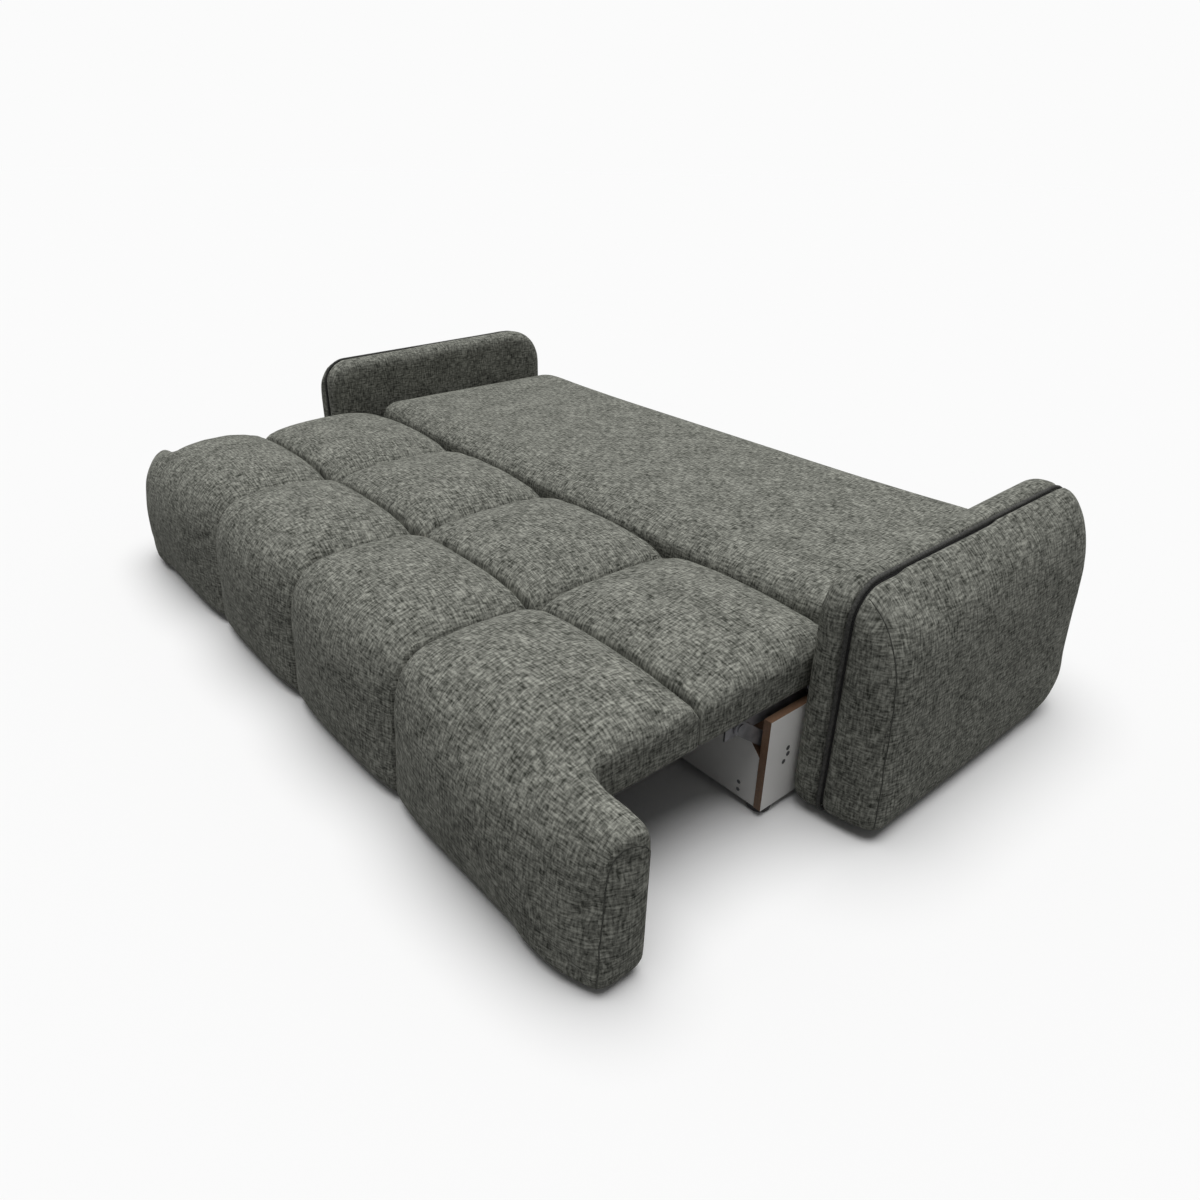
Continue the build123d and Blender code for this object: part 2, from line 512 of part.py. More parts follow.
# Backrest: frame, hinge plates and the plain padded slab
hinge_face = make_face(Polyline(
    [
        (RAIL_OUT, SEAT_FRAME_REAR - 105, SEAT_RAIL_LOW + 6),
        (RAIL_OUT, SEAT_FRAME_REAR - 4, SEAT_RAIL_LOW + 6),
        (RAIL_OUT, HINGE_Y + 18, HINGE_Z - 8),
        (RAIL_OUT, HINGE_Y + 18, HINGE_Z + 8),
        (RAIL_OUT, HINGE_Y + 8, HINGE_Z + 18),
        (RAIL_OUT, HINGE_Y - 12, HINGE_Z + 18),
        (RAIL_OUT, SEAT_FRAME_REAR - 105, SEAT_RAIL_LOW + 52),
    ],
    close=True,
))
hinge_plate = extrude(hinge_face, amount=4, dir=(1, 0, 0))
hinge_plate -= rod(RAIL_OUT - 1, HINGE_PLATE_OUT + 1, HINGE_Y, HINGE_Z, HINGE_RADIUS + RUNNING_FIT)
hinge_bolts = []
for y in hinge_bolt_lines:
    hinge_plate -= rod(RAIL_OUT - 1, HINGE_PLATE_OUT + 1, y, hinge_bolt_z, 4.2)
    bolt_head = rod(HINGE_PLATE_OUT, HINGE_PLATE_OUT + 4, y, hinge_bolt_z, 8)
    hinge_bolts.append(bolt_head + rod(RAIL_IN, HINGE_PLATE_OUT, y, hinge_bolt_z, 4))
save("hinge_plates", *both([hinge_plate]))
save("hinge_plate_bolts", *both(hinge_bolts))
hinge_pin = rod(BACK_RAIL_IN, HINGE_PLATE_OUT, HINGE_Y, HINGE_Z, HINGE_RADIUS)
hinge_pin += rod(HINGE_PLATE_OUT, HINGE_PLATE_OUT + 4, HINGE_Y, HINGE_Z, 10)
save("hinge_pins", *both([hinge_pin]))
bush = rod(BACK_RAIL_IN, BACK_RAIL_OUT, HINGE_Y, HINGE_Z, 9)
bush -= rod(BACK_RAIL_IN - 1, BACK_RAIL_OUT + 1, HINGE_Y, HINGE_Z, HINGE_RADIUS + RUNNING_FIT)
save("hinge_bushes", *both([bush]))

back_start = BACK_FRONT + WALL
back_end = REAR - WALL
back_side = block(BACK_RAIL_IN, BACK_RAIL_OUT, back_start, back_end, BACK_RAIL_LOW, BACK_RAIL_TOP)
back_side -= rod(BACK_RAIL_IN - 1, BACK_RAIL_OUT + 1, HINGE_Y, HINGE_Z, 9)
save("back_side_rails", *both([back_side]))
cross_rails = []
for y in (back_start, back_end - RAIL):
    cross_rails.append(block(-BACK_RAIL_IN, BACK_RAIL_IN, y, y + RAIL, BACK_RAIL_LOW, BACK_RAIL_TOP))
save("back_cross_rails", *cross_rails)
bearer_front = back_start + RAIL
bearer_rear = back_end - RAIL
back_bearers = []
for x in bearer_spots:
    back_bearers.append(block(x - 12, x + 12, bearer_front, bearer_rear, BACK_RAIL_LOW, BACK_RAIL_TOP))
save("back_bearers", *back_bearers)
back_straps = []
for x in strap_spots:
    back_straps.append(block(x - 30, x + 30, back_start, back_end, BACK_RAIL_TOP, BACK_POCKET_TOP))
save("back_webbing", *back_straps)
back_lining = block(-BACK_RAIL_OUT, BACK_RAIL_OUT, back_start, back_end, BACK_BOTTOM, BACK_RAIL_LOW)
save("back_lining", back_lining)
back_flat = 0.9 * SLAB_HALF
middle_face = Face(back_section(-back_flat, 0, 8))
back_pad = Part(Solid.extrude(middle_face, Vector(2 * back_flat, 0, 0)).wrapped)
end_steps = [(0.9, 0, 8), (0.97, 3, 5), (1, 14, 1)]
end_wires = [back_section(part * SLAB_HALF, drop, crown) for part, drop, crown in end_steps]
end_pad = Part(Solid.make_loft(end_wires, ruled=True).wrapped)
back_pad = back_pad + end_pad + mirrored(end_pad)
pocket_low = BACK_BOTTOM - 1
back_pad -= block(-BACK_RAIL_OUT, BACK_RAIL_OUT, back_start, back_end, pocket_low, BACK_POCKET_TOP)
side_cut = block(BACK_RAIL_OUT, SLAB_HALF + 1, BACK_FRONT - 1, HINGE_Y + 28, pocket_low, BED_TOP + 30)
save("back_pad", back_pad - side_cut - mirrored(side_cut))
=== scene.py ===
import json
import math

import bmesh
import bpy
import numpy as np
from mathutils import Matrix, Vector


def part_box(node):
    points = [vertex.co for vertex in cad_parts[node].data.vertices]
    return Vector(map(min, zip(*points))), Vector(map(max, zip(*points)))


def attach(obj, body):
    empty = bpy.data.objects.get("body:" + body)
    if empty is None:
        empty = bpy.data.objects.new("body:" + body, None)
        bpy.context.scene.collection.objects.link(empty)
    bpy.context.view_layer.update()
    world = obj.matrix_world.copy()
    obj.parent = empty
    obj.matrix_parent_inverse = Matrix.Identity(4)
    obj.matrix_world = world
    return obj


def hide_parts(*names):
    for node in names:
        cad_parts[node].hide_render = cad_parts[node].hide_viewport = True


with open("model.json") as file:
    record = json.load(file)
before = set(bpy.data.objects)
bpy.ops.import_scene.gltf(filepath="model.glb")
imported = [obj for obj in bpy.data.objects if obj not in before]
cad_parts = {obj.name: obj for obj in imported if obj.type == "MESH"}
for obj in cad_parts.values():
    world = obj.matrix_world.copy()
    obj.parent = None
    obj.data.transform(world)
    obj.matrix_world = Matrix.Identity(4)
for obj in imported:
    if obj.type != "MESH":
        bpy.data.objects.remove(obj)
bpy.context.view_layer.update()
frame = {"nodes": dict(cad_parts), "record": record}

bl_info = {
    "name": "Sofa bed upholstery",
    "version": (1, 0, 0),
    "blender": (4, 5, 0),
    "location": "View3D > Sidebar > Sofa bed",
    "description": "Puffed seat cells, backrest slab, padded arms and finishes of an opened sofa bed",
    "category": "Object",
}

WEAVE = "weave"
QUARTER = math.pi / 2
CORNER_STARTS = (-90, 0, 90, 180)
CLOTH_FRAMES = 20
COVER_BENDING = 0.6
SIDES = ("left", "right")
PLACES = ("inner", "outer")


class SofaSizes(bpy.types.PropertyGroup):
    """Sizes of the upholstery, in metres unless said otherwise."""

    seam_depth: bpy.props.FloatProperty(
        name="Seam depth", description="Depth of the sewn valleys on top",
        default=0.072, unit="LENGTH")
    front_pull: bpy.props.FloatProperty(
        name="Front pull", description="Depth of the sewn valleys on the drop front",
        default=0.042, unit="LENGTH")
    shoulder: bpy.props.FloatProperty(
        name="Shoulder", description="Depth of the rounded front shoulder",
        default=0.155, unit="LENGTH")
    shoulder_drop: bpy.props.FloatProperty(
        name="Shoulder drop", description="Height of the rounded front shoulder",
        default=0.220, unit="LENGTH")
    crown: bpy.props.FloatProperty(
        name="Crown", description="Height of a cell's crown above the slab's base",
        default=0.139, unit="LENGTH")
    voxel: bpy.props.FloatProperty(
        name="Voxel", description="Mesh pitch of the simulated covers",
        default=0.011, unit="LENGTH")
    pressure: bpy.props.FloatProperty(
        name="Pressure", description="Filling pressure of the covers",
        default=4.0)
    swell_cap: bpy.props.FloatProperty(
        name="Swell cap", description="Largest movement of a seat cover under pressure",
        default=0.022, unit="LENGTH")
    arm_dome: bpy.props.FloatProperty(
        name="Arm dome", description="How far the rim of an arm pillow is drawn in",
        default=0.13, unit="LENGTH")


class SofaColours(bpy.types.PropertyGroup):
    """Colours of the finishes."""

    yarn_dark: bpy.props.FloatVectorProperty(
        name="Dark yarn", description="Dark strokes of the cover",
        subtype="COLOR", size=3, default=(0.040, 0.042, 0.035))
    yarn_mid: bpy.props.FloatVectorProperty(
        name="Middle yarn", description="Ground of the cover",
        subtype="COLOR", size=3, default=(0.170, 0.173, 0.152))
    yarn_light: bpy.props.FloatVectorProperty(
        name="Light yarn", description="Light strokes of the cover",
        subtype="COLOR", size=3, default=(0.375, 0.380, 0.335))
    piping: bpy.props.FloatVectorProperty(
        name="Piping", description="Cord along the arm",
        subtype="COLOR", size=3, default=(0.036, 0.036, 0.034))
    # The seam colour is painted shade: the seams are real, but their dark colour stands in for the shade in
    # the seam creases.
    seam: bpy.props.FloatVectorProperty(
        name="Seam", description="Sewn lines of the arms and the ears",
        subtype="COLOR", size=3, default=(0.038, 0.039, 0.034))
    laminate: bpy.props.FloatVectorProperty(
        name="Laminate", description="Boards of the box",
        subtype="COLOR", size=3, default=(0.93, 0.92, 0.90))
    raw_edge: bpy.props.FloatVectorProperty(
        name="Raw edge", description="Cut edges of the boards",
        subtype="COLOR", size=3, default=(0.13, 0.075, 0.045))
    timber: bpy.props.FloatVectorProperty(
        name="Timber", description="Frame timber",
        subtype="COLOR", size=3, default=(0.34, 0.20, 0.09))
    steel: bpy.props.FloatVectorProperty(
        name="Steel", description="Levers, plates and screws",
        subtype="COLOR", size=3, default=(0.20, 0.20, 0.21))
    black: bpy.props.FloatVectorProperty(
        name="Black", description="Feet, rests and lining",
        subtype="COLOR", size=3, default=(0.012, 0.012, 0.012))
    floor: bpy.props.FloatVectorProperty(
        name="Floor", description="Floor of the studio",
        subtype="COLOR", size=3, default=(0.90, 0.90, 0.90))


def sizes():
    """The size settings of the scene."""
    return bpy.context.scene.sofa_sizes


def colours():
    """The colour settings of the scene."""
    return bpy.context.scene.sofa_colours


def over(*nodes):
    """Lowest and highest corner over some CAD nodes, as arrays."""
    boxes = [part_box(node) for node in nodes]
    low = np.min([np.array(low) for low, high in boxes], axis=0)
    high = np.max([np.array(high) for low, high in boxes], axis=0)
    return low, high


def round_off(share, power):
    """Depth of a superellipse edge: 0 at share 0 and 1 at share 1."""
    share = min(max(share, 0.0), 1.0)
    return 1.0 - (1.0 - share ** power) ** (1.0 / power)


def smooth_step(value, start, end):
    """0 before start, 1 after end, smooth between."""
    part = min(max((value - start) / (end - start), 0.0), 1.0)
    return part * part * (3.0 - 2.0 * part)


def spread(start, end, count):
    """Stations that gather towards both ends."""
    middle = (start + end) / 2
    half = (end - start) / 2
    return [middle + half * math.sin(QUARTER * (2 * index / count - 1)) for index in range(count + 1)]


def rounded_outline(corners, steps):
    """Side-view outline with a quarter ellipse at each corner, from the lower rear one up and round."""
    points = []
    for index, (y, z, across, tall) in enumerate(corners):
        centre_y = y - across if index < 2 else y + across
        centre_z = z - tall if index in (1, 2) else z + tall
        for step in range(steps + 1):
            turn = math.radians(CORNER_STARTS[index] + 90 * step / steps)
            points.append((centre_y + across * math.cos(turn), centre_z + tall * math.sin(turn)))
    return points


def shell(bm, rings):
    """Closed skin over rings of equal length, with both ends filled."""
    levels = [[bm.verts.new(point) for point in ring] for ring in rings]
    count = len(levels[0])
    for lower, upper in zip(levels, levels[1:]):
        for index in range(count):
            follower = (index + 1) % count
            bm.faces.new((lower[index], lower[follower], upper[follower], upper[index]))
    bm.faces.new(levels[0])
    bm.faces.new(levels[-1])


def finished(name, bm):
    """Object at the origin with the shape in its mesh and outward normals."""
    bmesh.ops.recalc_face_normals(bm, faces=bm.faces)
    mesh = bpy.data.meshes.new(name)
    bm.to_mesh(mesh)
    bm.free()
    obj = bpy.data.objects.new(name, mesh)
    bpy.context.scene.collection.objects.link(obj)
    return obj


def select(obj):
    """Make one object the only chosen and active one."""
    for other in bpy.context.selected_objects:
        other.select_set(False)
    obj.select_set(True)
    bpy.context.view_layer.objects.active = obj


def apply_modifier(obj, modifier):
    """Bake one modifier into the mesh."""
    select(obj)
    bpy.ops.object.modifier_apply(modifier=modifier.name)


def ease(obj, turns):
    """Smooth the mesh some times."""
    modifier = obj.modifiers.new("Ease", "SMOOTH")
    modifier.factor = 0.5
    modifier.iterations = turns
    apply_modifier(obj, modifier)


def coordinates(mesh):
    """Vertex places as an array."""
    places = np.empty(len(mesh.vertices) * 3)
    mesh.vertices.foreach_get("co", places)
    return places.reshape(-1, 3)


def remesh(obj, voxel):
    """Even mesh over the outer skin of all the shells."""
    modifier = obj.modifiers.new("Skin", "REMESH")
    modifier.mode = "VOXEL"
    modifier.voxel_size = voxel
    modifier.adaptivity = 0.0
    apply_modifier(obj, modifier)
    ease(obj, turns=4)


def inflate(obj, pinned, cap, bending=COVER_BENDING):
    """Places of a cover filled with air: pinned vertices hold and none moves further than the cap."""
    start = coordinates(obj.data)
    group = obj.vertex_groups.new(name="pin")
    group.add([int(index) for index in np.nonzero(pinned)[0]], 1.0, "REPLACE")
    modifier = obj.modifiers.new("Air", "CLOTH")
    settings = modifier.settings
    settings.quality = 5
    settings.mass = 0.3
    settings.tension_stiffness = 12.0
    settings.compression_stiffness = 12.0
    settings.shear_stiffness = 6.0
    settings.bending_stiffness = bending
    settings.vertex_group_mass = "pin"
    settings.use_pressure = True
    settings.uniform_pressure_force = sizes().pressure
    settings.effector_weights.gravity = 0.0
    modifier.collision_settings.use_collision = False
    modifier.point_cache.frame_start = 1
    modifier.point_cache.frame_end = CLOTH_FRAMES
    scene = bpy.context.scene
    for step in range(1, CLOTH_FRAMES + 1):
        scene.frame_set(step)
    posed = obj.evaluated_get(bpy.context.evaluated_depsgraph_get())
    end = coordinates(posed.to_mesh())
    posed.to_mesh_clear()
    scene.frame_set(1)
    obj.modifiers.remove(modifier)
    obj.vertex_groups.remove(group)
    shift = end - start
    length = np.linalg.norm(shift, axis=1, keepdims=True)
    shift *= np.minimum(1.0, cap / np.maximum(length, 1e-9))
    return start + shift


def settle(obj, places, easing=0):
    """Write the places into the mesh, refine it once and shade it smooth."""
    obj.data.vertices.foreach_set("co", places.astype(np.float32).ravel())
    obj.data.update()
    if easing:
        ease(obj, easing)
    modifier = obj.modifiers.new("Fine", "SUBSURF")
    modifier.levels = 1
    modifier.render_levels = 1
    apply_modifier(obj, modifier)
    obj.data.polygons.foreach_set("use_smooth", [True] * len(obj.data.polygons))


def lay_weave(obj, mapping):
    """UV map in metres from a function of the loops' places and the faces' centres and normals."""
    mesh = obj.data
    places = coordinates(mesh)
    corner_verts = np.empty(len(mesh.loops), dtype=np.int64)
    mesh.loops.foreach_get("vertex_index", corner_verts)
    totals = np.empty(len(mesh.polygons), dtype=np.int64)
    mesh.polygons.foreach_get("loop_total", totals)
    centres = np.empty(len(mesh.polygons) * 3)
    mesh.polygons.foreach_get("center", centres)
    normals = np.empty(len(mesh.polygons) * 3)
    mesh.polygons.foreach_get("normal", normals)
    owner = np.repeat(np.arange(len(totals)), totals)
    plane = mapping(places[corner_verts], centres.reshape(-1, 3)[owner], normals.reshape(-1, 3)[owner])
    layer = mesh.uv_layers.new(name=WEAVE)
    layer.data.foreach_set("uv", np.column_stack(plane).astype(np.float32).ravel())


def dress(obj, body, nodes, mapping):
    """Ride, replace and finish one padded piece."""
    lay_weave(obj, mapping)
    obj.data.materials.append(bpy.data.materials["cover"])
    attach(obj, body)
    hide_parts(*nodes)


def seam_shade_line(name, cover, body, corners):
    """Thin dark line that follows a cover's surface near some points: a real seam's path, coloured dark as
    painted shade of the seam's crease.
    """
    radius = 0.0015
    sink = 0.0006
    pitch = 0.012
    easing = 12
    places = []
    for start, end in zip(corners, corners[1:]):
        steps = max(2, round((Vector(end) - Vector(start)).length / pitch))
        places += [Vector(start).lerp(Vector(end), index / steps) for index in range(steps)]
    places.append(Vector(corners[-1]))
    for _ in range(easing):
        inner = [(before + 2 * at + after) / 4 for before, at, after in zip(places, places[1:], places[2:])]
        places = [places[0], *inner, places[-1]]
    laid = [cover.closest_point_on_mesh(place) for place in places]
    data = bpy.data.curves.new(name, "CURVE")
    data.dimensions = "3D"
    data.bevel_depth = radius
    data.bevel_resolution = 2
    data.use_fill_caps = True
    spline = data.splines.new("POLY")
    spline.points.add(len(laid) - 1)
    for point, (_, place, normal, _) in zip(spline.points, laid):
        point.co = (*(place - sink * normal), 1.0)
    obj = bpy.data.objects.new(name, data)
    bpy.context.scene.collection.objects.link(obj)
    # The dark seam finish is painted shade of the crease.
    data.materials.append(bpy.data.materials["seam"])
    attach(obj, body)


def new_finish(name):
    """Nodes of a material with only a shader and an output, and the shader."""
    material = bpy.data.materials.get(name) or bpy.data.materials.new(name)
    material.use_nodes = True
    tree = material.node_tree
    tree.nodes.clear()
    output = tree.nodes.new("ShaderNodeOutputMaterial")
    shader = tree.nodes.new("ShaderNodeBsdfPrincipled")
    tree.links.new(shader.outputs["BSDF"], output.inputs["Surface"])
    return tree, shader


def scaled(tree, vector, scale):
    """Vector multiplied by a fixed scale on each axis."""
    node = tree.nodes.new("ShaderNodeMapping")
    node.inputs["Scale"].default_value = scale
    tree.links.new(vector, node.inputs["Vector"])
    return node.outputs["Vector"]


def noise(tree, vector, scale=1.0, detail=2.0, roughness=0.6):
    """Noise value on a vector."""
    node = tree.nodes.new("ShaderNodeTexNoise")
    node.inputs["Scale"].default_value = scale
    node.inputs["Detail"].default_value = detail
    node.inputs["Roughness"].default_value = roughness
    tree.links.new(vector, node.inputs["Vector"])
    return node.outputs["Fac"]


def maths(tree, operation, first, second):
    """Result of one operation on two values, each a socket or a number."""
    node = tree.nodes.new("ShaderNodeMath")
    node.operation = operation
    for socket, value in zip(node.inputs, (first, second)):
        if isinstance(value, (int, float)):
            socket.default_value = value
        else:
            tree.links.new(value, socket)
    return node.outputs[0]


def ramp(tree, value, stops):
    """Colour ramp with the given places and colours."""
    node = tree.nodes.new("ShaderNodeValToRGB")
    elements = node.color_ramp.elements
    while len(elements) < len(stops):
        elements.new(0.5)
    for element, (place, colour) in zip(elements, stops):
        element.position = place
        element.color = (*colour, 1.0)
    tree.links.new(value, node.inputs["Fac"])
    return node.outputs["Color"]


def shades(colour, share):
    """Colour with each part multiplied by a share, up to white."""
    return [min(1.0, share * part) for part in colour]


def cover_finish(name, dark, mid, light):
    """Slub weave: short light and dark strokes along both threads over a grey ground."""
    along = 46.0
    across = 215.0
    sway_size = 0.003
    thread_share = 0.42
    nub_share = 0.16
    patch_share = 0.14
    stops = [(0.38, dark), (0.50, mid), (0.63, light)]
    tree, shader = new_finish(name)
    uv = tree.nodes.new("ShaderNodeUVMap")
    uv.uv_map = WEAVE
    sway = tree.nodes.new("ShaderNodeTexNoise")
    sway.inputs["Scale"].default_value = 60.0
    sway.inputs["Detail"].default_value = 1.0
    tree.links.new(uv.outputs["UV"], sway.inputs["Vector"])
    bent = tree.nodes.new("ShaderNodeVectorMath")
    bent.operation = "MULTIPLY_ADD"
    bent.inputs[1].default_value = (sway_size, sway_size, 0.0)
    tree.links.new(sway.outputs["Color"], bent.inputs[0])
    tree.links.new(uv.outputs["UV"], bent.inputs[2])
    thread = bent.outputs["Vector"]
    warp = noise(tree, scaled(tree, thread, (along, across, 1.0)))
    weft = noise(tree, scaled(tree, thread, (across, along, 1.0)))
    nub = noise(tree, thread, scale=210.0)
    patch = noise(tree, scaled(tree, uv.outputs["UV"], (14.0, 14.0, 1.0)), roughness=0.5)
    crossed = maths(tree, "MULTIPLY", maths(tree, "ADD", warp, weft), thread_share)
    tone = maths(tree, "ADD", crossed, maths(tree, "MULTIPLY", nub, nub_share))
    uneven = maths(tree, "MULTIPLY", maths(tree, "SUBTRACT", patch, 0.5), patch_share)
    tone = maths(tree, "ADD", tone, uneven)
    tree.links.new(ramp(tree, tone, stops), shader.inputs["Base Color"])
    bump = tree.nodes.new("ShaderNodeBump")
    bump.inputs["Strength"].default_value = 0.35
    bump.inputs["Distance"].default_value = 0.003
    tree.links.new(tone, bump.inputs["Height"])
    tree.links.new(bump.outputs["Normal"], shader.inputs["Normal"])
    shader.inputs["Roughness"].default_value = 0.95
    shader.inputs["Specular IOR Level"].default_value = 0.08


def cord_finish(name, colour):
    """Dark woven cord. The seam finish made with it is painted shade: a dark line for the shade in the seam
    creases.
    """
    tree, shader = new_finish(name)
    place = tree.nodes.new("ShaderNodeTexCoord")
    grain = noise(tree, place.outputs["Object"], scale=220.0, roughness=0.5)
    stops = [(0.35, colour), (0.75, shades(colour, 2.6))]
    tree.links.new(ramp(tree, grain, stops), shader.inputs["Base Color"])
    shader.inputs["Roughness"].default_value = 0.9
    shader.inputs["Specular IOR Level"].default_value = 0.2


def board_finish(name, face, edge):
    """White board with raw brown cut edges on top and on the fronts of the side boards."""
    facing_forward = -0.5
    facing_up = 0.3
    board_gap = 0.0005
    side_low, _ = over("box_side_right")
    side_board = float(side_low[0]) - board_gap
    tree, shader = new_finish(name)
    place = tree.nodes.new("ShaderNodeTexCoord")
    parts = tree.nodes.new("ShaderNodeSeparateXYZ")
    tree.links.new(place.outputs["Normal"], parts.inputs["Vector"])
    forward = maths(tree, "LESS_THAN", parts.outputs["Y"], facing_forward)
    upward = maths(tree, "GREATER_THAN", parts.outputs["Z"], facing_up)
    where = tree.nodes.new("ShaderNodeSeparateXYZ")
    tree.links.new(place.outputs["Object"], where.inputs["Vector"])
    outer = maths(tree, "GREATER_THAN", maths(tree, "ABSOLUTE", where.outputs["X"], 0.0), side_board)
    cut = maths(tree, "MAXIMUM", upward, maths(tree, "MULTIPLY", forward, outer))
    grain = noise(tree, place.outputs["Object"], scale=400.0, detail=3.0)
    soil = noise(tree, place.outputs["Object"], scale=9.0, detail=3.0, roughness=0.5)
    mix = tree.nodes.new("ShaderNodeMix")
    mix.data_type = "RGBA"
    tree.links.new(cut, mix.inputs["Factor"])
    tree.links.new(ramp(tree, soil, [(0.3, shades(face, 0.93)), (0.6, face)]), mix.inputs["A"])
    tree.links.new(ramp(tree, grain, [(0.3, edge), (0.7, shades(edge, 1.9))]), mix.inputs["B"])
    tree.links.new(mix.outputs["Result"], shader.inputs["Base Color"])
    shader.inputs["Roughness"].default_value = 0.45


def plain_finish(name, colour, roughness, metallic, scale):
    """One colour with a fine grain."""
    tree, shader = new_finish(name)
    place = tree.nodes.new("ShaderNodeTexCoord")
    grain = noise(tree, scaled(tree, place.outputs["Object"], scale), roughness=0.5)
    stops = [(0.3, shades(colour, 0.8)), (0.7, shades(colour, 1.25))]
    tree.links.new(ramp(tree, grain, stops), shader.inputs["Base Color"])
    shader.inputs["Roughness"].default_value = roughness
    shader.inputs["Metallic"].default_value = metallic


class SOFA_OT_finishes(bpy.types.Operator):
    """Make the finishes of the cover, boards, timber, steel and plastic"""

    bl_idname = "sofa.finishes"
    bl_label = "Finishes"

    def execute(self, context):
        cover_finish("cover", colours().yarn_dark, colours().yarn_mid, colours().yarn_light)
        cord_finish("piping", colours().piping)
        # Seam finish: painted shade along the seam creases of the arms and the ears.
        cord_finish("seam", colours().seam)
        board_finish("laminate", colours().laminate, colours().raw_edge)
        plain_finish("timber", colours().timber, roughness=0.6, metallic=0.0, scale=(6.0, 120.0, 120.0))
        plain_finish("steel", colours().steel, roughness=0.38, metallic=0.9, scale=(40.0, 40.0, 40.0))
        plain_finish("foot_plastic", colours().black, roughness=0.5, metallic=0.0, scale=(90.0, 90.0, 90.0))
        plain_finish("rest_rubber", colours().black, roughness=0.75, metallic=0.0, scale=(60.0, 60.0, 60.0))
        plain_finish("lining", colours().black, roughness=0.9, metallic=0.0, scale=(300.0, 300.0, 300.0))
        for entry in frame["record"]["subparts"]:
            node = frame["nodes"][entry["node"]]
            node.data.materials.clear()
            node.data.materials.append(bpy.data.materials[entry["material_slot"]])
        frame["nodes"]["arm_cores"].data.materials[0] = bpy.data.materials["lining"]
        return {"FINISHED"}


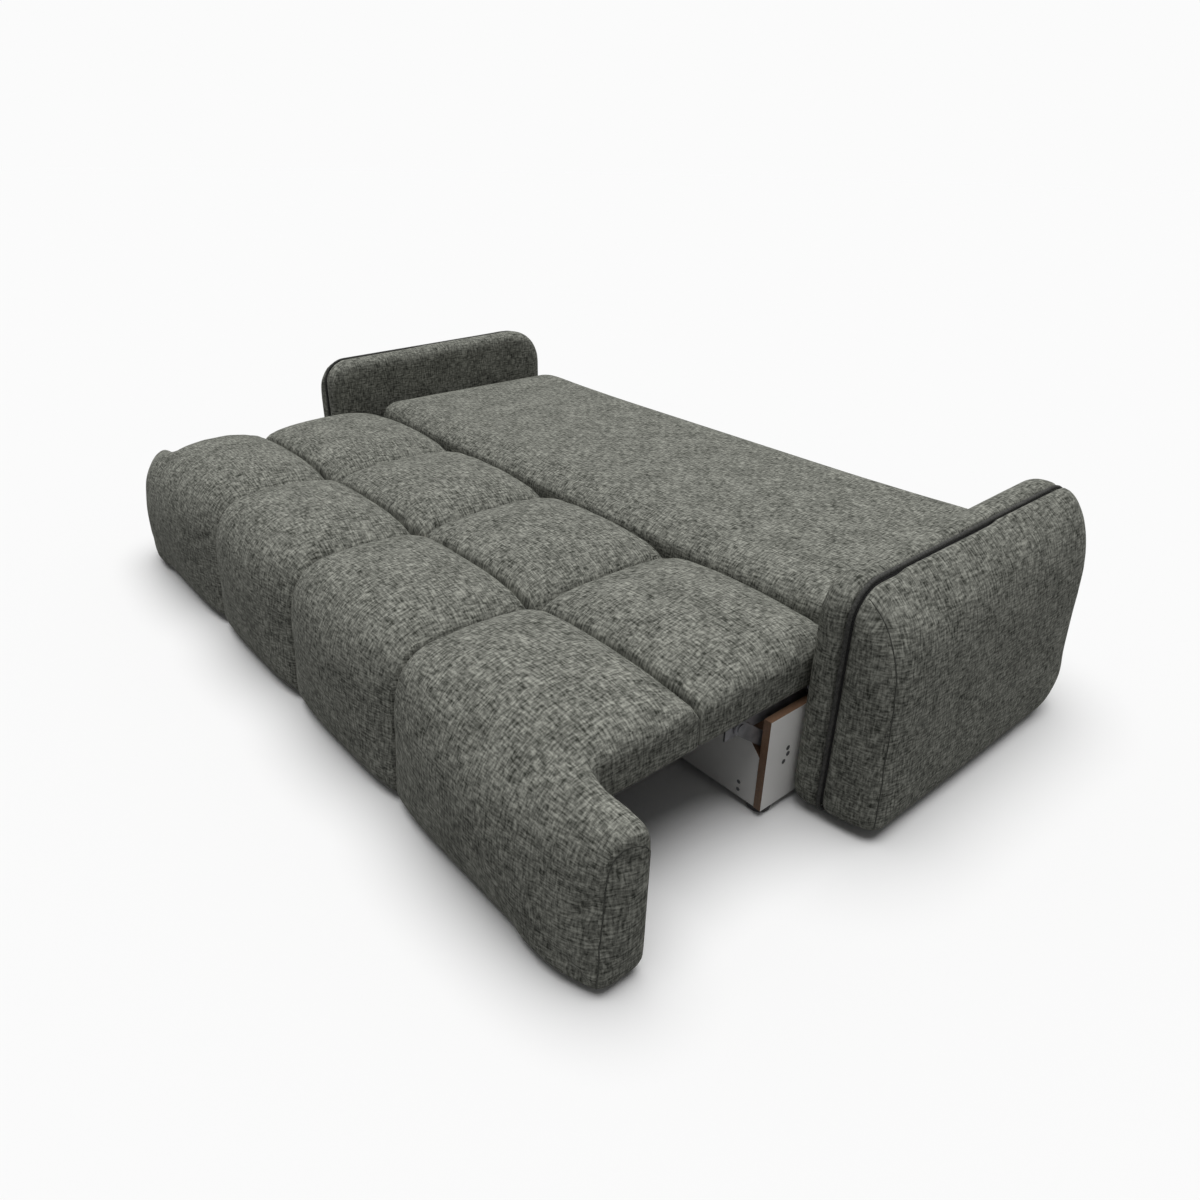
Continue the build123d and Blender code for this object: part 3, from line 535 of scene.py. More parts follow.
class Cell:
    """Shape of one puffed cell between two seam lines, on the right-hand or left-hand side."""

    STATIONS = 28
    FILL = 0.85
    GAP = 0.0006
    REAR_GAP = 0.0004
    ROW_GAP = 0.0005
    FILLING_ROOM = 0.011
    SEAM_POWER = 2.8
    END_SEAM = 0.47
    END_POWER = 1.9
    EDGE_FALL = 0.060
    EDGE_EASE = 0.35
    EDGE_POWER = 3.0
    WALL_STEP = 0.010
    WALL_HEIGHT = 0.03
    ROW_LAP = 0.007
    ROW_LAP_WIDTH = 0.06
    REAR_STEPS = 26
    PULL_POWER = 2.2
    END_PULL = 0.08
    CREST = 0.5
    ARC_STEPS = 16
    END_REACH = 0.016
    SEAM_REACH = 0.5
    SEAM_DROP = 0.55
    SHOULDER_POWER = 2.8
    END_SHOULDER = 0.7
    SHOULDER_SINK = 0.002
    FACE_STEPS = 9
    FACE_LEAN = 0.004
    FACE_FILL = 0.5
    TOE = 0.030
    TOE_STEPS = 6
    UNDERSIDE_END = -0.5
    EAR_LAP = 0.05
    EAR_STATIONS = 9
    EAR_END_STATIONS = 5
    EAR_ROUND = 0.016
    EAR_FIRST_TURN = 0.3
    EAR_SETBACK = 0.035
    EAR_STEP = 0.010
    EAR_STEP_START = 0.035
    EAR_STEP_END = 0.085
    EAR_RISE = 0.069
    EAR_BLEND = 0.032
    EAR_FOOT = 0.6
    EAR_ARC_STEPS = 8
    EAR_REAR_FOOT = 0.022
    EAR_REAR_SHARE = 0.30
    EAR_REAR_ROUND = 0.035
    EAR_FRONT_SHARE = 0.66
    EAR_FRONT_ROUND = 0.095
    EAR_FRONT_FOOT = 0.028
    LEAN_BACK = 0.11
    LEAN_START = 0.09
    LEAN_IN = 0.012
    LEAN_IN_START = 0.03
    LEAN_IN_HEIGHT = 0.26
    LEAN_IN_POWER = 1.4
    FOOT_IN = 0.012
    FOOT_IN_HEIGHT = 0.09
    EAR_SEAM = (
        (0.016, -0.716, 0.020),
        (0.005, -0.714, 0.170),
        (0.014, -0.696, 0.270),
        (0.014, -0.660, 0.312),
        (0.008, -0.620, 0.285),
        (0.010, -0.612, 0.030),
    )
    EAR_GIVE = 0.004
    SIDE_GIVE = 0.003
    BASE_GIVE = 0.0004
    CORNER_GAP = 0.002
    CORNER_WIDTH = 0.012
    PIN_BAND = 0.010
    PIN_REAR = 0.006
    PIN_BASE = 0.012
    EAR_CALM = 0.013
    EAR_CALM_REACH = 0.05
    BEND_SETBACK = 0.155
    BEND_DROP = 0.20
    BEND_RADIUS = 0.17
    PANEL_NORMAL = 0.72
    PANEL_REACH = 0.03
    PANEL_STRETCH = 0.98
    PANEL_SHIFT = 3.0

    def __init__(self, place, side):
        name = place + "_" + side
        rear_low, rear_high = over("rear_puff_" + name)
        front_low, front_high = over("front_puff_" + name)
        lining_low, _ = over("seat_lining")
        self.sign = 1.0 if side == "right" else -1.0
        self.outer = place == "outer"
        self.start = min(abs(rear_low[0]), abs(rear_high[0])) + self.GAP
        self.end = max(abs(rear_low[0]), abs(rear_high[0])) - (0.0 if self.outer else self.GAP)
        self.middle = (self.start + self.end) / 2
        self.ear_end = max(abs(front_low[0]), abs(front_high[0]))
        self.row = rear_low[1]
        self.rear = rear_high[1]
        self.front = front_low[1] + self.FILLING_ROOM
        self.low = front_low[2]
        self.base = rear_low[2] + self.GAP
        # A box holds single-precision values, so this place is rounded to a micrometre
        self.drop_rear = round(float(lining_low[1]) - self.ROW_GAP, 6)

    def seam(self, x):
        """0 on the crown of the cell and 1 on a seam line, with the outer end drawn in less."""
        half = (self.end - self.start) / 2
        share = (x - self.middle) / half
        if self.outer and share > 0:
            return self.END_SEAM * round_off(share, self.END_POWER)
        return round_off(abs(share), self.SEAM_POWER)

    def top(self, x):
        """Height of the cell's crown line at a station."""
        return self.base + sizes().crown - sizes().seam_depth * self.seam(x)

    def fall(self, x):
        """How far the crown falls towards the cell's front and rear edges at a station."""
        return self.EDGE_FALL * (1 - self.EDGE_EASE * self.seam(x))

    def rear_ring(self, x):
        """Outline of the rear-row cell."""
        top = self.top(x)
        fall = self.fall(x)
        rear = self.rear - self.REAR_GAP
        row = self.row + self.GAP
        if self.outer:
            row -= self.ROW_LAP * smooth_step(x, self.end - self.ROW_LAP_WIDTH, self.end)
        points = [(rear, self.base), (rear, top - fall - self.WALL_STEP)]
        for share in spread(-1, 1, self.REAR_STEPS):
            y = rear - (share + 1) / 2 * (rear - row)
            points.append((y, top - fall * round_off(abs(share), self.EDGE_POWER)))
        points += [(row, self.base + self.WALL_HEIGHT), (row, self.base)]
        return [(self.sign * x, y, z) for y, z in points]

    def front_ring(self, x):
        """Outline of the front-row cell, over the shoulder and down to the floor."""
        top = self.top(x)
        share = (x - self.middle) / (self.end - self.middle)
        pull = round_off(abs(share), self.PULL_POWER)
        tight = self.seam(x) ** 2
        end = 0.0
        if self.outer and x > self.middle:
            end = share
            pull = self.END_PULL * pull
            tight = 0.0
        depth = sizes().front_pull * pull
        front = self.front + depth
        foot = front + (self.FACE_LEAN - self.FACE_FILL * depth)
        drop = sizes().shoulder_drop * (1 - self.SEAM_DROP * tight)
        points = self.crown_points(top, self.fall(x))
        points += self.shoulder_points(top - self.SHOULDER_SINK, front, drop, tight, end)
        points += self.face_points(top - self.SHOULDER_SINK - drop, front, depth)
        points += self.toe_points(foot)
        points += [(self.drop_rear, self.low), (self.drop_rear, self.base), (self.UNDERSIDE_END, self.base)]
        return [(self.sign * x, y, z) for y, z in points]

    def crown_points(self, top, fall):
        """From the seam between the rows up to the crest of the cell."""
        rear = self.row - self.GAP
        crest = rear - self.CREST * (rear - self.front)
        points = [(rear, self.base), (rear, top - fall - self.WALL_STEP)]
        for index in range(self.ARC_STEPS + 1):
            share = 1 - math.sin(QUARTER * index / self.ARC_STEPS)
            y = rear - (1 - share) * (rear - crest)
            points.append((y, top - fall * round_off(share, self.EDGE_POWER)))
        return points

    def shoulder_points(self, top, front, drop, tight, end):
        """Over the rounded shoulder, tighter on a seam and softer towards the outer end."""
        reach = (sizes().shoulder + self.END_REACH * end) * (1 - self.SEAM_REACH * tight)
        power = self.SHOULDER_POWER - self.END_SHOULDER * end * end
        points = []
        for index in range(self.ARC_STEPS + 1):
            turn = QUARTER * index / self.ARC_STEPS
            along = math.sin(turn) ** (2 / power)
            down = 1 - max(0.0, math.cos(turn)) ** (2 / power)
            points.append((front + reach * (1 - along), top - drop * down))
        return points

    def face_points(self, top, front, depth):
        """Down the drop front, whose seams run out towards the floor."""
        points = []
        for index in range(1, self.FACE_STEPS):
            share = index / self.FACE_STEPS
            y = front + self.FACE_LEAN * share * share - self.FACE_FILL * depth * share
            points.append((y, top + (self.low + self.TOE - top) * share))
        return points

    def toe_points(self, front):
        """Round the lower front edge."""
        turns = [QUARTER * index / self.TOE_STEPS for index in range(self.TOE_STEPS + 1)]
        return [(front + self.TOE * (1 - math.cos(turn)), self.low + self.TOE * (1 - math.sin(turn)))
                for turn in turns]

    def ear_stations(self):
        """Stations of the ear and how far each is drawn in, with a rounded outer end."""
        last = self.ear_end - self.EAR_ROUND
        stations = [(x, 0.0) for x in np.linspace(self.end - self.EAR_LAP, last, self.EAR_STATIONS)]
        stations += [(last + self.EAR_ROUND * math.sin(turn), self.EAR_ROUND * (1 - math.cos(turn)))
                     for turn in np.linspace(self.EAR_FIRST_TURN, QUARTER, self.EAR_END_STATIONS)]
        return stations

    def ear_ring(self, x, draw):
        """Outline of the drop front's end beyond the seat's side."""
        out = max(x - self.end, 0.0) / (self.ear_end - self.end)
        step = self.EAR_STEP * smooth_step(x, self.end + self.EAR_STEP_START, self.end + self.EAR_STEP_END)
        front = self.front + self.EAR_SETBACK * out * out + draw
        rear = self.drop_rear + step - draw
        top = self.base + self.EAR_RISE + self.EAR_BLEND * (1 - out) ** 2 - draw
        low = self.low + draw * self.EAR_FOOT
        deep = rear - front
        corners = [
            (rear, low, self.EAR_REAR_FOOT, self.EAR_REAR_FOOT),
            (rear, top, self.EAR_REAR_SHARE * deep, self.EAR_REAR_ROUND),
            (front, top, self.EAR_FRONT_SHARE * deep, self.EAR_FRONT_ROUND),
            (front, low, self.EAR_FRONT_FOOT, self.EAR_FRONT_FOOT),
        ]
        points = rounded_outline(corners, self.EAR_ARC_STEPS)
        return [self.lean(x, out, (rear - y) / deep, y, z) for y, z in points]

    def lean(self, x, out, ahead, y, z):
        """Point of the ear drawn back and in towards the top of its front, and in at its foot."""
        back = self.LEAN_BACK * max(0.0, z - self.LEAN_START) * ahead
        height = max(0.0, z - self.LEAN_IN_START) / self.LEAN_IN_HEIGHT
        depth = max(0.0, self.FOOT_IN_HEIGHT - z)
        inward = self.LEAN_IN * (out * ahead) ** 2 * height ** self.LEAN_IN_POWER
        inward += self.FOOT_IN * (out * depth / self.FOOT_IN_HEIGHT) ** 2
        return self.sign * (x - inward), y + back, z

    def ear_seam(self):
        """Corners of the seam round the ear's end panel, from the floor up, over the top and down behind."""
        return [(self.sign * (self.ear_end - inset), y, z) for inset, y, z in self.EAR_SEAM]

    def hold(self, places, row):
        """Keep a simulated cover inside its own cell and clear of the box below."""
        across = places[:, 0] * self.sign
        high = self.ear_end + self.EAR_GIVE if self.outer else self.end
        places[:, 0] = self.sign * np.clip(across, self.start, high)
        if row == "rear":
            first = self.row + (-self.ROW_LAP if self.outer else self.ROW_GAP)
            places[:, 1] = np.clip(places[:, 1], first, self.rear)
            places[:, 2] = np.maximum(places[:, 2], self.base - self.BASE_GIVE)
        else:
            places[:, 1] = np.minimum(places[:, 1], self.row - self.ROW_GAP)
            rise = self.base - places[:, 2]
            past = places[:, 1] - self.drop_rear + self.CORNER_GAP
            corner = (across < self.end + self.CORNER_WIDTH) & (rise > 0) & (past > 0)
            lifted = corner & (rise < past)
            pushed = corner & (rise >= past)
            places[lifted, 2] = self.base
            places[pushed, 1] = self.drop_rear - self.CORNER_GAP
            places[:, 2] = np.maximum(places[:, 2], self.low)
        if self.outer:
            seat = places[:, 1] > self.drop_rear + self.CORNER_WIDTH
            across = places[:, 0] * self.sign
            places[seat, 0] = self.sign * np.minimum(across[seat], self.end + self.SIDE_GIVE)
        return places

    def pins(self, places, row):
        """Vertices on seam walls, undersides and the rear of the drop."""
        across = places[:, 0] * self.sign
        above = places[:, 2] - self.base
        held = across < self.start + self.PIN_BAND
        if not self.outer:
            held |= across > self.end - self.PIN_BAND
        if row == "rear":
            held |= places[:, 1] < self.row + self.PIN_BAND
            held |= places[:, 1] > self.rear - self.PIN_REAR
            held |= above < self.PIN_BASE
        else:
            held |= places[:, 1] > self.row - self.PIN_BAND
            held |= (above < self.PIN_BASE) & (places[:, 1] > self.drop_rear - self.PIN_BASE)
            held |= places[:, 2] < self.low + self.PIN_BAND
        return held

    def swell(self, places):
        """How far each vertex may move: less on the ear than on the cell."""
        reach = self.end + self.EAR_CALM_REACH - self.middle
        out = np.clip((places[:, 0] * self.sign - self.middle) / reach, 0.0, 1.0)
        out *= float(self.outer)
        return (sizes().swell_cap - self.EAR_CALM * out * out * (3 - 2 * out)).reshape(-1, 1)

    def unroll(self, places, centres, normals):
        """Weave runs along the bed's width and over the shoulder; the ear's end is its own panel."""
        pivot_y = self.front + self.BEND_SETBACK
        pivot_z = self.base + sizes().crown - self.BEND_DROP
        turn = np.arctan2(pivot_y - places[:, 1], places[:, 2] - pivot_z)
        shoulder = -pivot_y + self.BEND_RADIUS * np.clip(turn, 0, QUARTER)
        face = -pivot_y + self.BEND_RADIUS * QUARTER + pivot_z - places[:, 2]
        drop = np.where(places[:, 2] < pivot_z, face, shoulder)
        along = np.where(places[:, 1] > pivot_y, -places[:, 1], drop)
        end_panel = np.abs(normals[:, 0]) > self.PANEL_NORMAL
        end_panel &= np.abs(centres[:, 0]) > self.end - self.PANEL_REACH
        u = np.where(end_panel, places[:, 1] * self.PANEL_STRETCH + self.PANEL_SHIFT, places[:, 0])
        v = np.where(end_panel, places[:, 2], along)
        return u, v


class SOFA_OT_rear_cells(bpy.types.Operator):
    """Make the four puffed cells of the seat's rear row"""

    bl_idname = "sofa.rear_cells"
    bl_label = "Rear cells"

    def execute(self, context):
        for place in PLACES:
            for side in SIDES:
                cell = Cell(place, side)
                bm = bmesh.new()
                shell(bm, [cell.rear_ring(x) for x in spread(cell.start, cell.end, cell.STATIONS)])
                obj = finished("rear_cell_" + place + "_" + side, bm)
                remesh(obj, sizes().voxel)
                held = cell.pins(coordinates(obj.data), "rear")
                settle(obj, cell.hold(inflate(obj, held, sizes().swell_cap), "rear"))
                dress(obj, "seat", ["rear_puff_" + place + "_" + side], cell.unroll)
        return {"FINISHED"}


class SOFA_OT_front_cells(bpy.types.Operator):
    """Make the four puffed cells that fall over the front, the outer two with the ears"""

    bl_idname = "sofa.front_cells"
    bl_label = "Front cells"

    finer = 0.8

    def execute(self, context):
        for place in PLACES:
            for side in SIDES:
                cell = Cell(place, side)
                bm = bmesh.new()
                shell(bm, [cell.front_ring(x) for x in spread(cell.start, cell.end, cell.STATIONS)])
                if cell.outer:
                    shell(bm, [cell.ear_ring(x, draw) for x, draw in cell.ear_stations()])
                obj = finished("front_cell_" + place + "_" + side, bm)
                remesh(obj, self.finer * sizes().voxel)
                start = coordinates(obj.data)
                held = cell.pins(start, "front")
                settle(obj, cell.hold(inflate(obj, held, cell.swell(start)), "front"))
                dress(obj, "seat", ["front_puff_" + place + "_" + side], cell.unroll)
                if cell.outer:
                    # Dark line along the ear's seam: painted shade of the seam crease.
                    seam_shade_line("ear_seam_shade_" + side, obj, "seat", cell.ear_seam())
        return {"FINISHED"}


class Slab:
    """Shape of the padded backrest slab, with its front corners notched."""

    FILL = 0.95
    STATIONS = 60
    END_STATIONS = 8
    RADII = (0.006, 0.022, 0.050, 0.045)
    COARSER = 1.25
    NOTCH = 0.0138
    NOTCH_FRONT = 0.152
    END_LAP = 0.03
    END_START = 0.88
    END_DROP = 0.020
    END_POWER = 2.2
    FILLING_ROOM = 0.011
    ARC_STEPS = 8
    REAR_GIVE = 0.002
    SWELL_CAP = 0.007
    PIN_BASE = 0.04
    PIN_FRONT = 0.01
    PIN_ENDS = 0.012
    UNDERSIDE = 0.006
    LINING_EDGE = 0.004
    LINING_RISE = 0.003
    END_NORMAL = 0.72
    EDGE_NORMAL = 0.75
    END_SHIFT = 3.0
    EDGE_SHIFT = 2.0

    def __init__(self):
        self.low, self.high = over("back_pad")
        self.lining_low, self.lining_high = over("back_lining")
        self.half = self.high[0]
        self.notch = self.half - self.NOTCH

    def ring(self, x, front):
        """Outline of the slab at a station, lower towards its ends."""
        share = (abs(x) - self.END_START * self.half) / ((1 - self.END_START) * self.half)
        top = self.high[2] - self.FILLING_ROOM - self.END_DROP * round_off(share, self.END_POWER)
        places = [(self.high[1], self.low[2]), (self.high[1], top), (front, top), (front, self.low[2])]
        corners = [(y, z, radius, radius) for (y, z), radius in zip(places, self.RADII)]
        return [(x, y, z) for y, z in rounded_outline(corners, self.ARC_STEPS)]

    def pins(self, places):
        """Vertices near the underside, the front edge and the ends."""
        held = places[:, 2] < self.low[2] + self.PIN_BASE
        held |= places[:, 1] < self.low[1] + self.PIN_FRONT
        held |= np.abs(places[:, 0]) > self.notch - self.PIN_ENDS
        return held

    def hold(self, places):
        """Keep the cover inside its outline, with its underside drawn up behind the lining."""
        places[:, 1] = np.clip(places[:, 1], self.low[1], self.high[1] - self.REAR_GIVE)
        places[:, 0] = np.clip(places[:, 0], -self.half, self.half)
        under = places[:, 2] < self.low[2] + self.UNDERSIDE
        under &= np.abs(places[:, 0]) < self.lining_high[0] - self.LINING_EDGE
        under &= places[:, 1] > self.lining_low[1] + self.LINING_EDGE
        under &= places[:, 1] < self.lining_high[1] - self.LINING_EDGE
        places[under, 2] = self.lining_high[2] + self.LINING_RISE
        return places

    def unroll(self, places, centres, normals):
        """Weave along the width and over the edges, with the ends as their own panels."""
        ends = np.abs(normals[:, 0]) > self.END_NORMAL
        edges = ends | (np.abs(normals[:, 1]) > self.EDGE_NORMAL)
        u = np.where(ends, places[:, 1] + self.END_SHIFT, places[:, 0])
        v = np.where(edges, places[:, 2] + self.EDGE_SHIFT, places[:, 1])
        return u, v


class SOFA_OT_backrest(bpy.types.Operator):
    """Make the plain padded slab of the folded-down backrest"""

    bl_idname = "sofa.backrest"
    bl_label = "Backrest slab"

    def execute(self, context):
        slab = Slab()
        bm = bmesh.new()
        shell(bm, [slab.ring(x, slab.low[1]) for x in spread(-slab.notch, slab.notch, slab.STATIONS)])
        for side in (-1, 1):
            stations = np.linspace(slab.notch - slab.END_LAP, slab.half, slab.END_STATIONS)
            shell(bm, [slab.ring(side * x, slab.NOTCH_FRONT) for x in stations])
        obj = finished("back_slab", bm)
        remesh(obj, sizes().voxel * slab.COARSER)
        held = slab.pins(coordinates(obj.data))
        settle(obj, slab.hold(inflate(obj, held, slab.SWELL_CAP)))
        dress(obj, "backrest", ["back_pad"], slab.unroll)
        return {"FINISHED"}


class Arm:
    """Outlines of one arm in the side view."""

    TOP_FRONT = 0.532
    TOP_REAR = 0.550
    RADII = (0.11, 0.115, 0.078, 0.042)
    RADIUS_EASE = 0.28
    LEAST_RADIUS = 0.03
    ARC_STEPS = 10
    SWELL_CAP = 0.005
    RIM_NORMAL = 0.70
    RIM_SHIFT = 4.0

    def __init__(self, side):
        self.sign = 1.0 if side == "right" else -1.0
        band_low, band_high = over("arm_band_" + side)
        pillow_low, pillow_high = over("arm_pillow_" + side)
        self.inner = min(abs(band_low[0]), abs(band_high[0]))
        self.band_end = max(abs(band_low[0]), abs(band_high[0]))
        self.pillow_start = min(abs(pillow_low[0]), abs(pillow_high[0]))
        self.outer = max(abs(pillow_low[0]), abs(pillow_high[0]))
        self.front = band_low[1]
        self.rear = band_high[1]
        self.low = band_low[2]

    def ring(self, x, inset, shares=(1.0, 1.0, 1.0, 1.0), rim=0.0):
        """Outline drawn in by a rim all round and an inset with shares at the front, rear, foot and top."""
        front = self.front + rim + inset * shares[0]
        rear = self.rear - rim - inset * shares[1]
        low = self.low + rim + inset * shares[2]
        drop = rim + inset * shares[3]
        radii = [max(radius - self.RADIUS_EASE * inset, self.LEAST_RADIUS) for radius in self.RADII]
        places = [(rear, low), (rear, self.TOP_REAR - drop), (front, self.TOP_FRONT - drop), (front, low)]
        corners = [(y, z, radius, radius) for (y, z), radius in zip(places, radii)]
        return [(self.sign * x, y, z) for y, z in rounded_outline(corners, self.ARC_STEPS)]

    def front_seam(self):
        """Corners of the seam between the front panel and the outer face, from the cord down to the floor."""
        corners = [
            (self.pillow_start + 0.012, self.front + 0.030, self.TOP_FRONT - 0.024),
            (self.outer - 0.062, self.front + 0.022, self.TOP_FRONT - 0.045),
            (self.outer - 0.020, self.front + 0.022, 0.385),
            (self.outer - 0.012, self.front + 0.024, 0.200),
            (self.outer - 0.018, self.front + 0.030, 0.040),
        ]
        return [(self.sign * x, y, z) for x, y, z in corners]

    def unroll(self, places, centres, normals):
        """Weave along the rim of the arm, with the flat faces as their own panels."""
        rim = np.abs(normals[:, 0]) < self.RIM_NORMAL
        flat = np.abs(normals[:, 2]) > np.abs(normals[:, 1])
        along = np.where(flat, places[:, 1], places[:, 2] + self.RIM_SHIFT)
        u = np.where(rim, along, places[:, 1])
        v = np.where(rim, places[:, 0], places[:, 2])
        return u, v


class SOFA_OT_arms(bpy.types.Operator):
    """Make the padded inner bands and the outer pillows of both arms"""

    bl_idname = "sofa.arms"
    bl_label = "Arms"

    def execute(self, context):
        for side in SIDES:
            arm = Arm(side)
            self.band(arm, side)
            self.pillow(arm, side)
        return {"FINISHED"}

    def band(self, arm, side):
        """Inner padding of an arm, with a soft inner edge and a tucked edge at the cord."""
        gap = 0.0004
        inner_radius = 0.030
        cord_width = 0.012
        cord_tuck = 0.005
        inner_pin = 0.004
        cord_pin = 0.008
        inner_give = 0.0003
        cord_give = 0.0002
        rings = []
        for turn in np.linspace(0, QUARTER, 8):
            x = arm.inner + gap + inner_radius * (1 - math.cos(turn))
            rings.append(arm.ring(x, inner_radius * (1 - math.sin(turn))))
        width = arm.band_end - arm.inner
        for index in range(1, 6):
            turn = QUARTER * index / 5
            x = arm.inner + width - cord_width + (cord_width - gap) * math.sin(turn)
            rings.append(arm.ring(x, cord_tuck * (1 - math.cos(turn))))
        bm = bmesh.new()
        shell(bm, rings)
        obj = finished("arm_inner_" + side, bm)
        remesh(obj, sizes().voxel)
        across = np.abs(coordinates(obj.data)[:, 0])
        held = (across > arm.band_end - cord_pin) | (across < arm.inner + inner_pin)
        places = inflate(obj, held, arm.SWELL_CAP)
        across = np.clip(np.abs(places[:, 0]), arm.inner + inner_give, arm.band_end - cord_give)
        places[:, 0] = arm.sign * across
        settle(obj, places)
        dress(obj, "base", ["arm_band_" + side], arm.unroll)

    def pillow(self, arm, side):
        """Domed outer pillow of an arm, leaned in towards its top."""
        stations = (0.03, 0.07, 0.12, 0.2, 0.28, 0.36, 0.44, 0.52, 0.6, 0.67, 0.74, 0.8, 0.85, 0.9, 0.94,
                    0.97, 0.99, 1.0)
        filling_room = 0.010
        start_lap = 0.0030
        start_inset = 0.004
        rim = 0.001
        dome_power = 2.1
        dome_ease = 0.92
        dome_shares = (0.30, 0.85, 0.10, 1.4)
        lean = 0.022
        lean_start = 0.12
        lean_height = 0.28
        finer = 0.82
        bending = 6.0
        pin_band = 0.010
        cord_gap = 0.0006
        floor_gap = 0.004
        easing = 12
        swell = arm.outer - filling_room - arm.pillow_start
        rings = [arm.ring(arm.pillow_start - start_lap, start_inset)]
        for share in stations:
            inset = sizes().arm_dome * round_off(share, dome_power) ** dome_ease
            ring = arm.ring(arm.pillow_start + share * swell, inset, dome_shares, rim)
            rings.append([(x - arm.sign * lean * share * max(0.0, (z - lean_start) / lean_height), y, z)
                          for x, y, z in ring])
        bm = bmesh.new()
        shell(bm, rings)
        obj = finished("arm_outer_" + side, bm)
        remesh(obj, sizes().voxel * finer)
        held = np.abs(coordinates(obj.data)[:, 0]) < arm.pillow_start + pin_band
        places = inflate(obj, held, arm.SWELL_CAP, bending)
        places[:, 0] = arm.sign * np.maximum(np.abs(places[:, 0]), arm.band_end + cord_gap)
        places[:, 2] = np.maximum(places[:, 2], floor_gap)
        settle(obj, places, easing)
        dress(obj, "base", ["arm_pillow_" + side], arm.unroll)
        # Dark line along the arm's front seam: painted shade of the edge between the front panel and the
        # outer face.
        seam_shade_line("arm_seam_shade_" + side, obj, "base", arm.front_seam())


def seen(tree):
    """1 for rays of the camera, of gloss and through glass, 0 for the rays that light the object."""
    rays = tree.nodes.new("ShaderNodeLightPath")
    gloss = maths(tree, "MAXIMUM", rays.outputs["Is Glossy Ray"], rays.outputs["Is Transmission Ray"])
    return maths(tree, "MAXIMUM", rays.outputs["Is Camera Ray"], gloss)


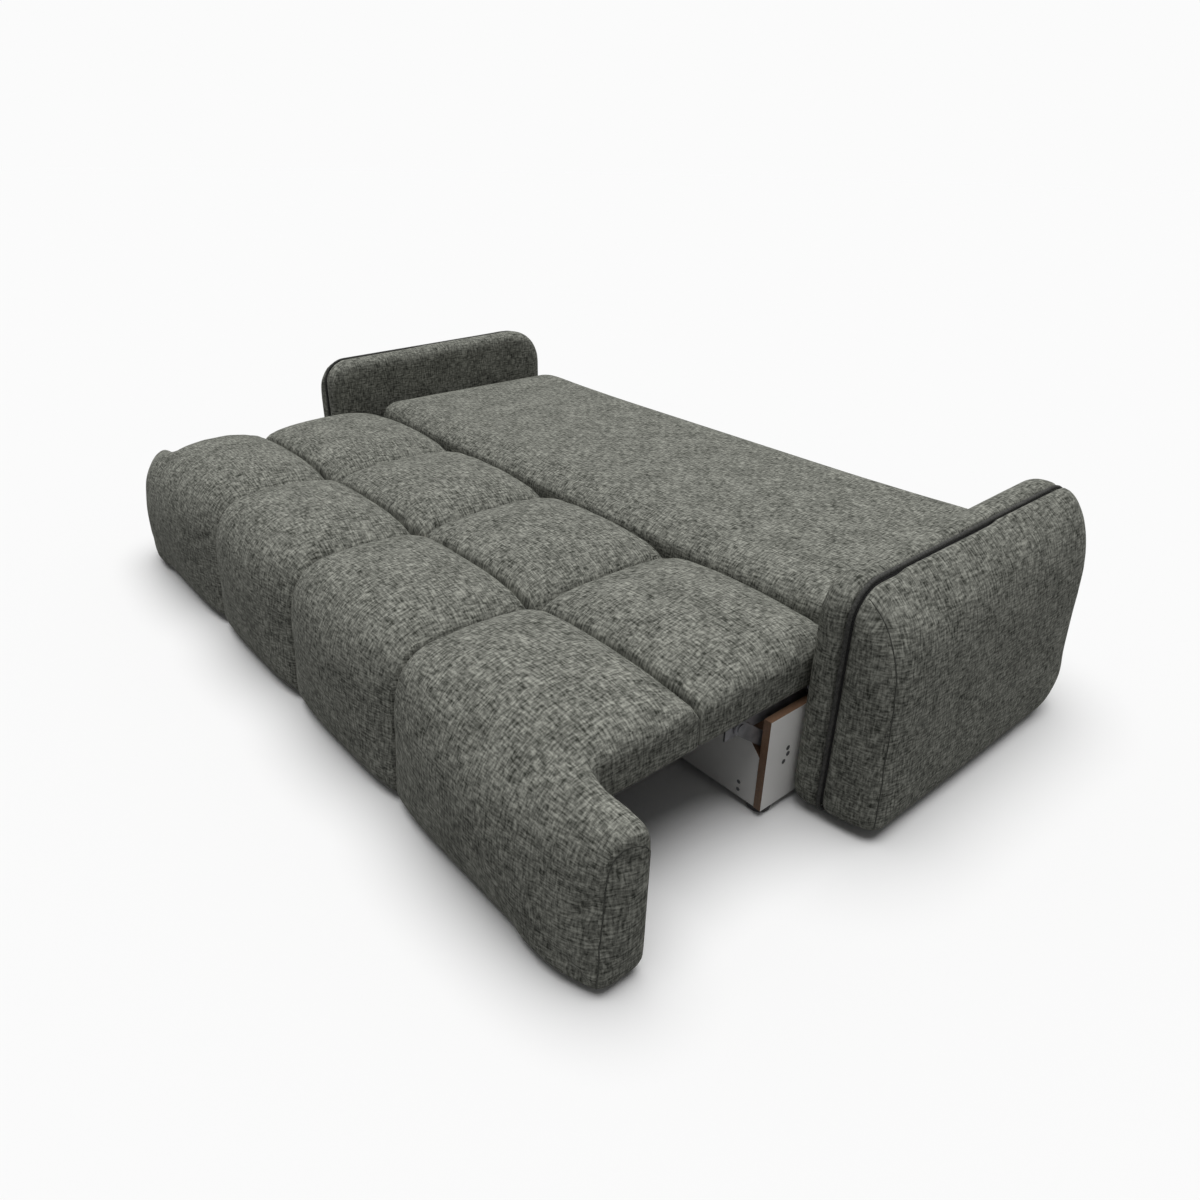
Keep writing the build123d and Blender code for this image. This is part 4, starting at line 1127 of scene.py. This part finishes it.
class SOFA_OT_stage(bpy.types.Operator):
    """Make the floor, the light, the sky and the camera of the studio"""

    bl_idname = "sofa.stage"
    bl_label = "Studio"

    FLOOR_RADIUS = 30.0
    FLOOR_BOUNCE = (0.32, 0.32, 0.32)
    LIGHT_TOWARDS = (-0.03, 0.05, 1.0)
    LIGHT_SOFTNESS = 56.0
    LIGHT_STRENGTH = 2.92
    SKY_STRENGTH = 0.145
    SKY_SEEN = 0.965
    CAMERA_PLACE = (1.7936, -1.3381, 1.2272)
    CAMERA_ANGLES = (48.87, 28.09, 1.15)
    CAMERA_LENS = 26.364

    def execute(self, context):
        self.floor()
        self.light()
        self.sky()
        self.camera()
        context.scene.view_settings.view_transform = "Standard"
        return {"FINISHED"}

    def floor(self):
        """Pale floor that looks white to the camera and reflects less onto the object."""
        bm = bmesh.new()
        bmesh.ops.create_circle(bm, cap_ends=True, radius=self.FLOOR_RADIUS, segments=96)
        obj = finished("floor", bm)
        material = bpy.data.materials.new("floor")
        material.use_nodes = True
        tree = material.node_tree
        tree.nodes.clear()
        output = tree.nodes.new("ShaderNodeOutputMaterial")
        shader = tree.nodes.new("ShaderNodeBsdfDiffuse")
        mix = tree.nodes.new("ShaderNodeMix")
        mix.data_type = "RGBA"
        mix.inputs["A"].default_value = (*self.FLOOR_BOUNCE, 1.0)
        mix.inputs["B"].default_value = (*colours().floor, 1.0)
        tree.links.new(seen(tree), mix.inputs["Factor"])
        tree.links.new(mix.outputs["Result"], shader.inputs["Color"])
        tree.links.new(shader.outputs["BSDF"], output.inputs["Surface"])
        obj.data.materials.append(material)

    def light(self):
        """Wide soft light from overhead."""
        data = bpy.data.lights.new("overhead", "SUN")
        data.angle = math.radians(self.LIGHT_SOFTNESS)
        data.energy = self.LIGHT_STRENGTH
        obj = bpy.data.objects.new("overhead", data)
        obj.location = (0.0, 0.0, 4.0)
        obj.rotation_euler = Vector(self.LIGHT_TOWARDS).to_track_quat("Z", "Y").to_euler()
        bpy.context.scene.collection.objects.link(obj)

    def sky(self):
        """Even sky that is white where the camera sees it."""
        world = bpy.data.worlds.new("studio")
        bpy.context.scene.world = world
        world.use_nodes = True
        tree = world.node_tree
        tree.nodes.clear()
        output = tree.nodes.new("ShaderNodeOutputWorld")
        background = tree.nodes.new("ShaderNodeBackground")
        background.inputs["Color"].default_value = (1.0, 1.0, 1.0, 1.0)
        mix = tree.nodes.new("ShaderNodeMix")
        mix.inputs["A"].default_value = self.SKY_STRENGTH
        mix.inputs["B"].default_value = self.SKY_SEEN
        tree.links.new(seen(tree), mix.inputs["Factor"])
        tree.links.new(mix.outputs["Result"], background.inputs["Strength"])
        tree.links.new(background.outputs["Background"], output.inputs["Surface"])

    def camera(self):
        """Camera that was fitted to the photo's edges."""
        turn, rise, roll = (math.radians(angle) for angle in self.CAMERA_ANGLES)
        back = Vector((math.sin(turn) * math.cos(rise), -math.cos(turn) * math.cos(rise), math.sin(rise)))
        level = Vector((math.cos(turn), math.sin(turn), 0.0))
        above = back.cross(level)
        right = math.cos(roll) * level + math.sin(roll) * above
        up = math.cos(roll) * above - math.sin(roll) * level
        data = bpy.data.cameras.new("camera")
        data.sensor_width = 36.0
        data.lens = self.CAMERA_LENS
        data.clip_start = 0.05
        obj = bpy.data.objects.new("camera", data)
        bpy.context.scene.collection.objects.link(obj)
        facing = Matrix((right, up, back)).transposed().to_4x4()
        obj.matrix_world = Matrix.Translation(self.CAMERA_PLACE) @ facing
        bpy.context.scene.camera = obj


class SOFA_PT_panel(bpy.types.Panel):
    """Settings and steps of the sofa bed"""

    bl_idname = "SOFA_PT_panel"
    bl_label = "Sofa bed"
    bl_space_type = "VIEW_3D"
    bl_region_type = "UI"
    bl_category = "Sofa bed"

    def draw(self, context):
        for group in (context.scene.sofa_sizes, context.scene.sofa_colours):
            for name in group.__annotations__:
                self.layout.prop(group, name)
        for operator in STEPS:
            self.layout.operator(operator.bl_idname)


STEPS = (
    SOFA_OT_finishes,
    SOFA_OT_rear_cells,
    SOFA_OT_front_cells,
    SOFA_OT_backrest,
    SOFA_OT_arms,
    SOFA_OT_stage,
)
CLASSES = (SofaSizes, SofaColours, *STEPS, SOFA_PT_panel)


def register():
    """Add the settings, steps and panel."""
    for item in CLASSES:
        bpy.utils.register_class(item)
    bpy.types.Scene.sofa_sizes = bpy.props.PointerProperty(type=SofaSizes)
    bpy.types.Scene.sofa_colours = bpy.props.PointerProperty(type=SofaColours)


def unregister():
    """Take the settings, steps and panel away."""
    del bpy.types.Scene.sofa_colours
    del bpy.types.Scene.sofa_sizes
    for item in reversed(CLASSES):
        bpy.utils.unregister_class(item)


def main():
    """Build the object."""
    register()
    bpy.ops.sofa.finishes()
    bpy.ops.sofa.rear_cells()
    bpy.ops.sofa.front_cells()
    bpy.ops.sofa.backrest()
    bpy.ops.sofa.arms()
    bpy.ops.sofa.stage()


if __name__ == "__main__":
    main()
